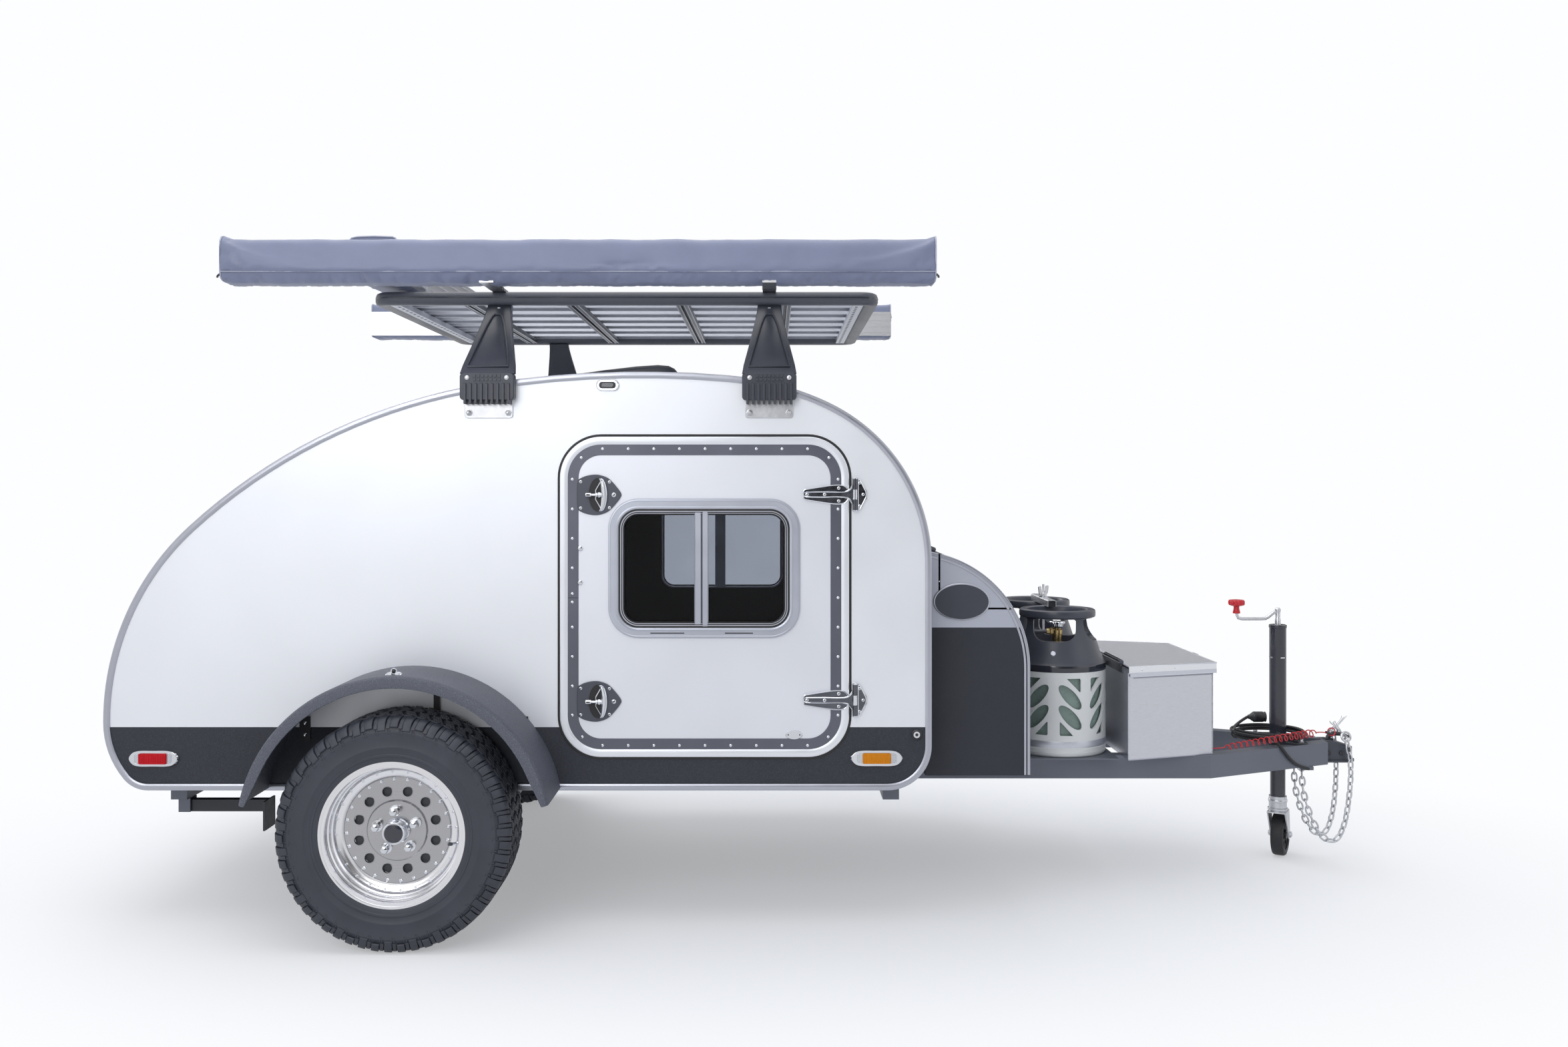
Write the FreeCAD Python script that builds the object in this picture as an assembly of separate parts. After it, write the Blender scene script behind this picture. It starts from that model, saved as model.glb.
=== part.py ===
import FreeCAD, Part
import math
import os
from FreeCAD import Vector as V

# Teardrop trailer, in millimetres.  While it is modelled, X = 0 is the wheel axis and +X runs
# forward to the hitch, Y = 0 is the centre plane with +Y to the left, and Z = 0 is the ground.
# The finished part is shifted along X so that the origin lies under the middle of its length.

# ---------------------------------------------------------------- driving dimensions

TYRE_R = 332.0
RIDE_H = 74.0                  # from the wheels' axis up to the bottom of the body

# body shell: the side outline is a chain of tangent lines and arcs
BODY_FRONT_X = 1530.0
BODY_BOTTOM_Z = TYRE_R + RIDE_H
FRONT_FACE_H = 664.0           # flat front face, from the bottom up to where the roof begins
BODY_CURVE_START_Z = BODY_BOTTOM_Z + FRONT_FACE_H
BODY_WIDTH = 1524.0
WALL_T = 40.0                  # side walls and doors
SHELL_T = 36.0                 # roof, front, sill and hatch
FRONT_CORNER_R = 130.0
# roof arcs from the front face back over the top to the tail: radius, angle in degrees
ROOF_ARCS = [(530.0, 65.0), (880.0, 20.0), (2960.0, 14.0), (1680.0, 33.5), (780.0, 47.5)]
TAIL_ARCS = [(260.0, 40.0), (90.0, 50.0)]   # lower corner of the tail, under a straight drop

# floor, chassis
FLOOR_T = 30.0
RAIL_TOP_Z = BODY_BOTTOM_Z + 10.0
RAIL_H = 76.0
RAIL_W = 50.0
RAIL_WALL = 4.0
FRAME_HALF_W = 294.0
FRAME_REAR_X = -790.0
TONGUE_L = 1455.0              # from the body's front to the rails' tips
TONGUE_ANGLE = 25.5            # how much each rail turns in towards the coupler
TONGUE_TIP_HALF_W = 65.5
TONGUE_TIP_X = BODY_FRONT_X + TONGUE_L
TONGUE_BEND_X = TONGUE_TIP_X - (FRAME_HALF_W - TONGUE_TIP_HALF_W) / math.tan(math.radians(TONGUE_ANGLE))
CROSS_W = 50.0
OUTRIGGER_HALF_W = BODY_WIDTH / 2 - WALL_T - 122.0
# crossmembers: rear edge X, reaches out past the rails
CROSSMEMBERS = [(-790.0, True), (-330.0, False), (420.0, False), (900.0, False), (1400.0, True),
                (1860.0, False), (2400.0, False)]
CHAIN_BAR_X = TONGUE_TIP_X - 83.0
CHAIN_BAR_T = 12.0

# wheels and axle
TYRE_W = 230.0
TREAD_W = 184.0
RIM_LIP_R = 207.5
RIM_SEAT_R = 195.0
RIM_W = 212.0
RIM_WALL = 6.0
TYRE_BODY_GAP = 23.0           # between tyre and side wall
WHEEL_Y = BODY_WIDTH / 2 + TYRE_BODY_GAP + TYRE_W / 2   # middle plane of each tyre
DISC_DEPTH = 62.0              # wheel face behind the outer lip
DISC_T = 8.0
DISC_BOSS_R = 87.0
DISC_BOSS_H = 6.0
CAP_R = 31.0
CAP_H = 42.0
VENT_HOLE_R = 14.0
VENT_HOLE_COUNT = 12
VENT_HOLE_PITCH_R = 112.0
LUG_COUNT = 5
LUG_PITCH_R = 57.15
LUG_R = 10.5
LUG_H = 30.0
DRUM_R = 125.0
DRUM_W = 82.0
BACKPLATE_T = 4.0
SPINDLE_R = 18.0
BEAM_SIZE = 60.0
BEAM_X = 190.0
BEAM_HALF_W = WHEEL_Y - 220.0
ARM_T = 35.0
ARM_R = 34.0

# fenders
FENDER_R = 441.0
FENDER_T = 4.0
FENDER_W = 238.0
FENDER_OUT_Y = BODY_WIDTH / 2 + FENDER_W
FENDER_LIP = 34.0
FENDER_TIP_ANGLE = 10.5        # above the horizontal, at both ends

# doors, one each side; the leading edge is hinged
DOOR_W = 867.0
DOOR_H = 959.0
DOOR_X1 = 1293.0
DOOR_X0 = DOOR_X1 - DOOR_W
DOOR_Z0 = BODY_BOTTOM_Z + 91.0
DOOR_Z1 = DOOR_Z0 + DOOR_H
DOOR_R = 128.0
DOOR_GAP = 6.0
DOOR_PROUD = 3.0
WINDOW_X0, WINDOW_X1 = DOOR_X0 + 150.0, DOOR_X1 - 152.0
WINDOW_H = 410.0
WINDOW_Z1 = DOOR_Z1 - 190.0
WINDOW_Z0 = WINDOW_Z1 - WINDOW_H
WINDOW_R = 88.0
WINDOW_RIM = 43.0              # width of the frame's visible flange
WINDOW_FLANGE_T = 7.0
WINDOW_SLEEVE_T = 6.0
MULLION_W = 40.0
MULLION_X0 = (WINDOW_X0 + WINDOW_X1 - MULLION_W) / 2 - 8.5
MULLION_X1 = MULLION_X0 + MULLION_W
GLASS_T = 5.0
LATCH_X = DOOR_X0 + 122.0
LATCH_SIZE = (129.0, 119.0, 6.0)   # length, height and thickness of the D-shaped shield
PADDLE_H = 30.0
DOOR_HINGE_ZS = (DOOR_Z1 - 177.0, DOOR_Z0 + 175.0)
LATCH_ZS = (DOOR_Z1 - 178.0, DOOR_Z0 + 171.0)
DOOR_BOLT_X = DOOR_X0 + 66.0
DOOR_BOLT_ZS = (DOOR_Z1 - 336.0, DOOR_Z1 - 437.0)
BADGE_PLATE = (DOOR_X1 - 169.0, DOOR_Z0 + 72.0, 49.0, 27.0)   # middle X, middle Z, length, height

# hinges; the gap between knuckles lies along the pin
BARREL_R = 7.0
PIN_R = 3.5
LEAF_T = 4.0
RUN_GAP = 0.3
KNUCKLE_GAP = 0.5
LEAF_SINK = 2.0                # moving leaves on curved panels are let in this far
DOOR_PIN_X = DOOR_X1 + 11.0
DOOR_HINGE_H = 92.0
DOOR_STRAP_L = 152.0
DOOR_PLATE_L = 34.0
DOOR_PLATE_TIP = 9.0            # half height of the wall plate's blunt point

# galley hatch
HATCH_PIN_X = 58.0
HATCH_BOTTOM_Z = BODY_BOTTOM_Z + 185.0
HATCH_GAP = 6.0
HATCH_LEAF = 45.0
HATCH_HINGE_L = 500.0
HATCH_HINGE_YS = (-HATCH_HINGE_L - 60.0, 60.0)   # start of each hinge

# inside: bulkheads, counter and bed
PLY_T = 18.0
BULKHEAD_X = 70.0
COUNTER_Z = BODY_BOTTOM_Z + 494.0
COUNTER_REAR_X = -760.0
FOOTWELL_X = -420.0
CUPBOARD_Z = BODY_BOTTOM_Z + 784.0
CUPBOARD_REAR_X = -150.0
HATCH_INSIDE_GAP = 12.0
MATTRESS_T = 120.0
MATTRESS_L = 1792.0
MATTRESS_X0 = FOOTWELL_X + 28.0
MATTRESS_X1 = MATTRESS_X0 + MATTRESS_L
MATTRESS_HALF_W = BODY_WIDTH / 2 - WALL_T - 22.0

# nose box in front of the cabin
NOSE_HALF_W = 610.0
NOSE_DEPTH = 320.0
NOSE_FRONT_X = BODY_FRONT_X + NOSE_DEPTH
NOSE_R = 360.0
NOSE_ARC_Z = RAIL_TOP_Z + 329.0
NOSE_T = 16.0
NOSE_LID_Z = RAIL_TOP_Z + 515.0
NOSE_STRIP = 40.0
NOSE_GAP = 6.0
NOSE_HINGE_L = 900.0
NOSE_LEAF = 30.0

# gas bottles
BOTTLE_R = 159.0
BOTTLE_H = 285.0
BOTTLE_GAP = 82.0              # between the two
TRAY_T = 4.0
TRAY_MARGIN = 8.0
BOTTLE_X = NOSE_FRONT_X + 2.0 + TRAY_MARGIN + BOTTLE_R
BOTTLE_Y = BOTTLE_GAP / 2 + BOTTLE_R
BOTTLE_TOP_Z = RAIL_TOP_Z + TRAY_T + BOTTLE_H
COLLAR_BAND_Z = BOTTLE_TOP_Z + 25.0
COLLAR_NECK_Z = BOTTLE_TOP_Z + 95.0
COLLAR_R = 122.0
COLLAR_WALL = 24.0
COLLAR_TOP_Z = BOTTLE_TOP_Z + 188.0
COLLAR_WELL_Z = BOTTLE_TOP_Z + 65.0
COLLAR_WINDOW = (100.0, BOTTLE_TOP_Z + 87.0, BOTTLE_TOP_Z + 163.0)   # width, bottom Z, top Z
VALVE_R = 18.0
VALVE_TOP_Z = COLLAR_WELL_Z + 62.0
HANDWHEEL_R = 27.0
HANDWHEEL_T = 18.0
VALVE_OUTLET_Z = COLLAR_WELL_Z + 45.0
VALVE_OUTLET_X = BOTTLE_X - 34.0
OUTLET_R = 10.0
CLAMP_ROD_X = BOTTLE_X - 7.0
CLAMP_ROD_R = 6.0
CLAMP_ROD_TOP_Z = COLLAR_TOP_Z + 65.0
CLAMP_BAR = (24.0, 300.0, 10.0)
REGULATOR = (36.0, 100.0, 40.0)
REGULATOR_Z = RAIL_TOP_Z + 304.0
HOSE_R = 6.5
# near-side gas hose from the valve to the regulator; the far one is its mirror image
HOSE_ROUTE = [(1985, -200, 815), (1932, -200, 815), (1890, -180, 800), (1870, -150, 766),
              (1868, -112, 720), (1868, -50.3, 720)]

# tongue box and its lid
BOX_L = 308.0
BOX_H = 296.0
BOX_X0 = BOTTLE_X + BOTTLE_R + TRAY_MARGIN + 26.0
BOX_X1 = BOX_X0 + BOX_L
BOX_HALF_REAR, BOX_HALF_FRONT = 380.0, 270.0
BOX_TOP_Z = RAIL_TOP_Z + BOX_H
BOX_T = 4.0
BOX_LID_Z = BOX_TOP_Z + 9.0
BOX_LID_SKIRT = 25.0
BOX_LID_GAP = 6.0
BOX_HINGE_L = 640.0
BOX_LEAF = 22.0
BOX_LATCH = (60.0, 18.0, 70.0)

# roof rack, its legs and the awnings
RACK_L = 1558.0
RACK_H = 40.0
RACK_X0 = -170.0
RACK_X1 = RACK_X0 + RACK_L
RACK_HALF_W = 618.0
RACK_Z0 = BODY_CURVE_START_Z + 790.0
RACK_Z1 = RACK_Z0 + RACK_H
RACK_R = 60.0
RACK_RIM = 48.0
SLAT_COUNT = 7
SLAT_W = 92.0
SLAT_T = 16.0
SLAT_DROP = 4.0                # slats lie this far below the rim's top
BAR_T = 16.0
BAR_W = 40.0
RACK_BAR_XS = (120.0, 440.0, 780.0, 1100.0)
LEG_XS = (222.0, 1051.0)
LEG_PLATE = (142.0, 5.0)       # width, thickness
LEG_FOOT_Z = BODY_CURVE_START_Z + 487.0
LEG_PLATE_ENDS = (LEG_FOOT_Z - 52.0, LEG_FOOT_Z + 30.0)
LEG_KNEE_Z = BODY_CURVE_START_Z + 564.0
LEG_FOOT_W = 160.0
LEG_TOP_W = 70.0
LEG_T = 30.0
LEG_TOP_Y = RACK_HALF_W - 43.0
AWNING_L = 2085.0
AWNING_W = 135.0
AWNING_H = 124.0
AWNING_X0 = -548.0
AWNING_X1 = AWNING_X0 + AWNING_L
AWNING_Y0 = RACK_HALF_W + 82.0
AWNING_Y1 = AWNING_Y0 + AWNING_W
AWNING_Z0 = RACK_Z1 + 7.0
AWNING_Z1 = AWNING_Z0 + AWNING_H
AWNING_R = 30.0
AWNING_BACK_T = 15.0
REAR_AWNING_L = 1280.0
REAR_AWNING_W = 156.0
REAR_AWNING_X0 = RACK_X0 - 71.0
REAR_AWNING_X1 = REAR_AWNING_X0 + REAR_AWNING_W
REAR_AWNING_Z0 = RACK_Z1 + 36.0
REAR_AWNING_Z1 = REAR_AWNING_Z0 + 125.0
REAR_BACK_T = 33.0
BRACKET_W = 41.0
BRACKET_T = 7.0
REAR_BRACKET_Y = 400.0

# roof vent
VENT_L = 340.0
VENT_X0 = 400.0
VENT_X1 = VENT_X0 + VENT_L
VENT_HALF_W = 180.0
VENT_BASE_Z = BODY_CURVE_START_Z + 590.0
VENT_HOLE_HALF = 150.0
VENT_LID_Z0 = VENT_BASE_Z + 6.0
VENT_LID_Z1 = VENT_LID_Z0 + 69.0
VENT_LID_T = 5.0
VENT_LID_OVER = 14.0
VENT_HINGE_L = 200.0
VENT_LEAF = 12.0

# lamps: middle X, middle Z, length, height, depth
AMBER_LAMP = (1368.5, BODY_BOTTOM_Z + 94.0, 157.0, 47.0, 18.0)
RED_LAMP = (-769.0, BODY_BOTTOM_Z + 93.0, 150.0, 48.0, 18.0)
TAIL_LAMP_Y = BODY_WIDTH / 2 - 202.0
TAIL_LAMP = (160.0, 70.0, 24.0)     # width, height, depth

# coupler
COUPLER_L = 114.0
COUPLER_NOSE_X = TONGUE_TIP_X + COUPLER_L
COUPLER_HALF_W = 42.0
COUPLER_FLANGE = 7.0
COUPLER_TOP_Z = RAIL_TOP_Z
COUPLER_BOTTOM_Z = COUPLER_TOP_Z - 73.0
BALL_R = 25.8
BALL_LEAD = 26.0               # straight wall below the ball's half sphere

# jack, its leg and caster
JACK_X = TONGUE_TIP_X - 150.0
JACK_TUBE_R = 28.5
JACK_LEG_R = 25.5
JACK_L = 490.0
JACK_BOTTOM_Z = RAIL_TOP_Z - 90.0
JACK_TOP_Z = JACK_BOTTOM_Z + JACK_L
JACK_PLATE = (130.0, 210.0, 6.0)
JACK_LEG_TOP_Z = RAIL_TOP_Z + 224.0
COLLAR_Z0, COLLAR_Z1 = 165.0, 218.0
SWIVEL_R = 30.0
SWIVEL_PIN_R = 12.0
SWIVEL_PIN_L = 40.0
CASTER_R = 75.0
CASTER_W = 45.0
CASTER_TRAIL = 45.0
CASTER_TURN = 60.0             # how far the caster is swivelled, about Z
CASTER_PIN_R = 6.0
FORK_GAP = 5.0
FORK_T = 4.0
FORK_BACK = 3.0                # crown's reach behind the swivel collar
FORK_END_R = 16.0
CRANK_R = 6.0
CRANK_ROUTE = [(JACK_X, 0, JACK_TOP_Z + 42), (JACK_X - 35, 0, JACK_TOP_Z + 22),
               (JACK_X - 135, 0, JACK_TOP_Z + 22), (JACK_X - 145, 0, JACK_TOP_Z + 50)]

# swing-down stabilizers at the rear corners
STAB_Y = OUTRIGGER_HALF_W - 40.0
STAB_PIN_X = FRAME_REAR_X + 35.0
STAB_PIN_Z = RAIL_TOP_Z - RAIL_H - 24.0
STAB_L = 250.0
STAB_W = 32.0
STAB_H = 36.0
STAB_EAR_T = 6.0
STAB_EAR_GAP = 3.0
STAB_PIN_R = 6.0
STAB_FOOT = (6.0, 90.0, 90.0)

# chains and cables on the tongue
CHAIN_R = 12.0
# near-side safety chain: from the bar under the tongue, down in a bow and up to the coupler
CHAIN_ROUTE = [(2905, -36, 327.7), (2906, -36, 272), (2914, -38, 218), (2930, -40, 166),
               (2949, -42, 122), (2969, -44, 90), (2994, -47, 70), (3020, -50, 74),
               (3038, -53, 104), (3051, -56, 150), (3059, -58, 206), (3064, -61, 264),
               (3066, -63, 322), (3062, -62, 378), (3052, -54.5, 428)]
BREAKAWAY_R = 15.0
BREAKAWAY_LEAD_R = 2.0
BREAKAWAY_COIL = [(2552, -258, 433), (2750, -191, 450), (2930, -107, 458)]
BREAKAWAY_LEAD = [(2930, -107, 458), (2953, -94, 458), (2976, -78, 453), (2998, -62, 445)]
BREAKAWAY_TAIL = [(2520, -262, 433), (2536, -262, 433), (2552, -258, 433)]
WIRING_X = 2802.0
WIRING_RING_R = 119.0
WIRING_BUNDLE_R = 17.0
WIRING_R = 5.0
WIRING_ROUTE = [(2900, -113, 334), (2858, -133.2, 346), (2820, -151.5, 376), (2792, -166, 410),
                (2768, -163, 438), (2753, -139, 452), (2748, -110, 447)]
PLUG_R = 19.0
PLUG_L = 62.0

# ---------------------------------------------------------------- helpers

X_AXIS, Y_AXIS, Z_AXIS = V(1, 0, 0), V(0, 1, 0), V(0, 0, 1)


def box(x0, x1, y0, y1, z0, z1):
    return Part.makeBox(x1 - x0, y1 - y0, z1 - z0, V(x0, y0, z0))


def rod(start, axis, radius, length):
    return Part.makeCylinder(radius, length, V(*start), axis)


def union(shapes):
    joined = shapes[0].multiFuse(shapes[1:]) if len(shapes) > 1 else shapes[0]
    return joined.removeSplitter()


def mirrored(shape):
    """The same shape on the other side of the centre plane."""
    return shape.mirror(V(0, 0, 0), Y_AXIS)


def both_sides(shape):
    return Part.makeCompound([shape, mirrored(shape)])


def outline(edges):
    return Part.Face(Part.Wire(edges))


def polygon(points):
    return Part.Face(Part.makePolygon([V(*p) for p in points + points[:1]]))


def rounded_rect(x0, x1, z0, z1, radius):
    """Rounded rectangle in the XZ plane."""
    k = radius * (1 - math.sqrt(0.5))
    corners = [   # arc start, middle, end
        ((x1 - radius, z0), (x1 - k, z0 + k), (x1, z0 + radius)),
        ((x1, z1 - radius), (x1 - k, z1 - k), (x1 - radius, z1)),
        ((x0 + radius, z1), (x0 + k, z1 - k), (x0, z1 - radius)),
        ((x0, z0 + radius), (x0 + k, z0 + k), (x0 + radius, z0)),
    ]
    edges = []
    for i, (start, middle, end) in enumerate(corners):
        after = corners[(i + 1) % 4][0]
        edges.append(Part.Arc(*[V(p[0], 0, p[1]) for p in (start, middle, end)]).toShape())
        edges.append(Part.makeLine(V(end[0], 0, end[1]), V(after[0], 0, after[1])))
    return outline(edges)


def slab(face, y0, y1):
    """A face in the XZ plane, made solid from y0 to y1."""
    return face.translated(V(0, y0, 0)).extrude(V(0, y1 - y0, 0))


def turned(points, centre, axis):
    """Closed outline of (along the axis, radius) points, spun about an axis through centre."""
    radial = X_AXIS if abs(axis.x) < 0.5 else Z_AXIS
    wire = Part.makePolygon([centre + axis * a + radial * r for a, r in points + points[:1]])
    return Part.Face(wire).revolve(centre, axis, 360)


def arc_chain(start, heading, arcs):
    """Tangent arcs in the XZ plane that all turn left; returns edges, end point and heading."""
    edges = []
    point = V(*start)
    for radius, angle in arcs:
        centre = point + V(-math.sin(heading), 0, math.cos(heading)) * radius
        spot = [centre + V(math.sin(heading + turn), 0, -math.cos(heading + turn)) * radius
                for turn in (0, math.radians(angle) / 2, math.radians(angle))]
        edges.append(Part.Arc(*spot).toShape())
        point = spot[2]
        heading += math.radians(angle)
    return edges, point, heading


def body_outline(inset):
    """Side outline of the body, moved in by inset all round, as a face in the XZ plane."""
    arcs = [(radius - inset, angle) for radius, angle in ROOF_ARCS]
    top = V(BODY_FRONT_X - inset, 0, BODY_CURVE_START_Z)
    roof, tail, heading = arc_chain((top.x, 0, top.z), math.pi / 2, arcs)
    (upper, angle), (lower, _) = TAIL_ARCS
    turned_z = math.sin(math.radians(angle))
    bottom = BODY_BOTTOM_Z + inset
    corner_top = V(tail.x, 0, bottom + (upper - inset) * turned_z + (lower - inset) * (1 - turned_z))
    rear, rear_end, _ = arc_chain((corner_top.x, 0, corner_top.z), heading,
                                  [(radius - inset, turn) for radius, turn in TAIL_ARCS])
    drop = [Part.makeLine(tail, corner_top)]
    corner = FRONT_CORNER_R - inset
    corner_start = V(top.x - corner, 0, bottom)
    front, front_end, _ = arc_chain((corner_start.x, 0, bottom), 0, [(corner, 90)])
    return outline(roof + drop + rear + [Part.makeLine(rear_end, corner_start)] + front
                   + [Part.makeLine(front_end, top)])


def roof_at(x):
    """Height of the roof above a given X, and its slope angle along +X."""
    point, heading = V(BODY_FRONT_X, 0, BODY_CURVE_START_Z), math.pi / 2
    for radius, angle in ROOF_ARCS:
        centre = point + V(-math.sin(heading), 0, math.cos(heading)) * radius
        heading += math.radians(angle)
        point = centre + V(math.sin(heading), 0, -math.cos(heading)) * radius
        if point.x <= x:
            lean = math.asin((x - centre.x) / radius)
            return centre.z + radius * math.cos(lean), -lean
    return point.z, math.pi / 2


def tube(points, radius):
    """Round tube along straight runs joined by tangent arcs, each as large as its runs allow."""
    spots = [V(*p) for p in points]
    edges, radii = [], []
    start = spots[0]
    for before, corner, after in zip(spots, spots[1:], spots[2:]):
        back, ahead = (before - corner), (after - corner)
        reach = 0.45 * min(back.Length, ahead.Length)
        back.normalize()
        ahead.normalize()
        half_turn = (math.pi - back.getAngle(ahead)) / 2
        first, last = corner + back * reach, corner + ahead * reach
        bisector = (back + ahead).normalize()
        bend = reach / math.tan(half_turn)
        middle = corner + bisector * (bend / math.cos(half_turn) - bend)
        edges += [Part.makeLine(start, first), Part.Arc(first, middle, last).toShape()]
        radii.append(bend)
        start = last
    edges.append(Part.makeLine(start, spots[-1]))
    path = Part.Wire(edges)
    ring = Part.Wire(Part.makeCircle(radius, spots[0], spots[1] - spots[0]))
    return path.makePipeShell([ring], True, True), radii, path.Length


def hinge(pin_at, along_pin, length, fixed, moving, start=0.0, sink=0.0):
    """Three-knuckle hinge; pin_at lies on the pin's axis, start is where the hinge begins
    along the pin.  fixed and moving are each (direction of the leaf away from the pin,
    outward normal of its panel, leaf length).  sink lets the moving leaf into its panel.
    Returns the fixed part with its pin, and the moving part.
    """
    third = length / 3
    spans = [(0, third), (third, 2 * third), (2 * third, length)]
    origin = pin_at + along_pin * start

    def leaf(direction, normal, reach, own, other, depth=0.0):
        base = origin - normal * (BARREL_R + depth)
        pieces = [Part.Face(Part.makePolygon([
            base + direction * near + along_pin * a, base + direction * reach + along_pin * a,
            base + direction * reach + along_pin * b, base + direction * near + along_pin * b,
            base + direction * near + along_pin * a])).extrude(normal * (LEAF_T + depth))
            for near, (a, b) in [(0, span) for span in own] + [(BARREL_R + 1, span) for span in other]]
        pieces += [Part.makeCylinder(BARREL_R, b - a, origin + along_pin * a, along_pin)
                   for a, b in own]
        return union(pieces)

    shrunk = (spans[1][0] + KNUCKLE_GAP, spans[1][1] - KNUCKLE_GAP)
    full = Part.makeCylinder(PIN_R, length, origin, along_pin)
    fixed_leaf = union([leaf(*fixed, [spans[0], spans[2]], [spans[1]]), full])
    bore = Part.makeCylinder(PIN_R + RUN_GAP, length, origin, along_pin)
    moving_leaf = leaf(*moving, [shrunk], [], sink).cut(bore)
    return fixed_leaf, moving_leaf


# ---------------------------------------------------------------- chassis

def rail_line(offset):
    """Plan points of one rail's face, offset inward from its outer face, rear to tip."""
    slope = math.tan(math.radians(TONGUE_ANGLE))
    bend = TONGUE_BEND_X - offset * math.tan(math.radians(TONGUE_ANGLE) / 2)
    inner = FRAME_HALF_W - offset
    tip = inner - (TONGUE_TIP_X - bend) * slope
    return [(FRAME_REAR_X, inner), (bend, inner), (TONGUE_TIP_X, tip)]


def rail_half_width(x, offset=0.0):
    """Y of a rail's face at a given X."""
    (_, inner), (bend, _), _ = rail_line(offset)
    return inner - max(0.0, x - bend) * math.tan(math.radians(TONGUE_ANGLE))


def frame_rails():
    def bar(outer, inner, z0, z1):
        points = rail_line(outer) + rail_line(inner)[::-1]
        return polygon([(x, y, z0) for x, y in points]).extrude(V(0, 0, z1 - z0))
    z0 = RAIL_TOP_Z - RAIL_H
    rail = bar(0, RAIL_W, z0, RAIL_TOP_Z).cut(
        bar(RAIL_WALL, RAIL_W - RAIL_WALL, z0 + RAIL_WALL, RAIL_TOP_Z - RAIL_WALL))
    return both_sides(rail)


def frame_crossmembers():
    z0 = RAIL_TOP_Z - RAIL_H
    pieces = []
    for x, reaches_out in CROSSMEMBERS:
        inner = FRAME_HALF_W - RAIL_W
        pieces.append(box(x, x + CROSS_W, -inner, inner, z0, RAIL_TOP_Z))
        if reaches_out:
            wing = box(x, x + CROSS_W, FRAME_HALF_W, OUTRIGGER_HALF_W, z0, RAIL_TOP_Z)
            pieces += [wing, mirrored(wing)]
    tray_half = BOTTLE_Y + BOTTLE_R + TRAY_MARGIN
    tray_reach = BOTTLE_R + TRAY_MARGIN
    pieces.append(box(BOTTLE_X - tray_reach, BOTTLE_X + tray_reach, -tray_half, tray_half,
                      RAIL_TOP_Z, RAIL_TOP_Z + TRAY_T))
    bar_half = rail_half_width(CHAIN_BAR_X)
    pieces.append(box(CHAIN_BAR_X - 18, CHAIN_BAR_X + 18, -bar_half, bar_half,
                      z0 - CHAIN_BAR_T, z0))
    pieces += stabilizer_ears()
    return Part.makeCompound(pieces)


def stabilizer_ears():
    """Brackets with pins, under the rear crossmember's ends."""
    top = RAIL_TOP_Z - RAIL_H
    half = STAB_H / 2
    pieces = []
    inner_face = STAB_W / 2 + STAB_EAR_GAP
    ears = [box(STAB_PIN_X - half, STAB_PIN_X + half, y, y + STAB_EAR_T, STAB_PIN_Z - half, top)
            for y in (STAB_Y - inner_face - STAB_EAR_T, STAB_Y + inner_face)]
    pin_l = 2 * (inner_face + STAB_EAR_T)
    pin = rod((STAB_PIN_X, STAB_Y - pin_l / 2, STAB_PIN_Z), Y_AXIS, STAB_PIN_R, pin_l)
    bracket = union(ears + [pin])
    pieces += [bracket, mirrored(bracket)]
    return pieces


def stabilizer():
    """Leg folded forward under the floor; its foot plate stands upright at the front end."""
    half = STAB_H / 2
    arm = box(STAB_PIN_X, STAB_PIN_X + STAB_L, STAB_Y - STAB_W / 2, STAB_Y + STAB_W / 2,
              STAB_PIN_Z - half, STAB_PIN_Z + half)
    end = rod((STAB_PIN_X, STAB_Y - STAB_W / 2, STAB_PIN_Z), Y_AXIS, half, STAB_W)
    foot_t, foot_w, foot_h = STAB_FOOT
    tip = STAB_PIN_X + STAB_L
    foot = box(tip, tip + foot_t, STAB_Y - foot_w / 2, STAB_Y + foot_w / 2,
               STAB_PIN_Z + half - foot_h, STAB_PIN_Z + half)
    hole = rod((STAB_PIN_X, STAB_Y - STAB_W, STAB_PIN_Z), Y_AXIS, STAB_PIN_R + RUN_GAP, 2 * STAB_W)
    return union([arm, end, foot]).cut(hole)


def coupler():
    """Pressed coupler head with a base flange and a ball socket that opens downward."""
    nose = COUPLER_NOSE_X - COUPLER_FLANGE - COUPLER_HALF_W

    def plan(half, z0, z1):
        straight = box(TONGUE_TIP_X, nose, -half, half, z0, z1)
        return union([straight, rod((nose, 0, z0), Z_AXIS, half, z1 - z0)])
    head = plan(COUPLER_HALF_W, COUPLER_BOTTOM_Z, COUPLER_TOP_Z)
    base = plan(COUPLER_HALF_W + COUPLER_FLANGE, COUPLER_BOTTOM_Z, COUPLER_BOTTOM_Z + COUPLER_FLANGE)
    slope = polygon([(TONGUE_TIP_X + 30, -60, COUPLER_TOP_Z), (COUPLER_NOSE_X, -60, COUPLER_TOP_Z - 26),
                     (COUPLER_NOSE_X, -60, COUPLER_TOP_Z + 1), (TONGUE_TIP_X + 30, -60, COUPLER_TOP_Z + 1)])
    socket = [rod((nose, 0, COUPLER_BOTTOM_Z - 1), Z_AXIS, BALL_R, BALL_LEAD + 1),
              Part.makeSphere(BALL_R, V(nose, 0, COUPLER_BOTTOM_Z + BALL_LEAD))]
    return union([head, base]).cut(slope.extrude(V(0, 120, 0))).cut(union(socket))


# ---------------------------------------------------------------- axle and wheels

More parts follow.
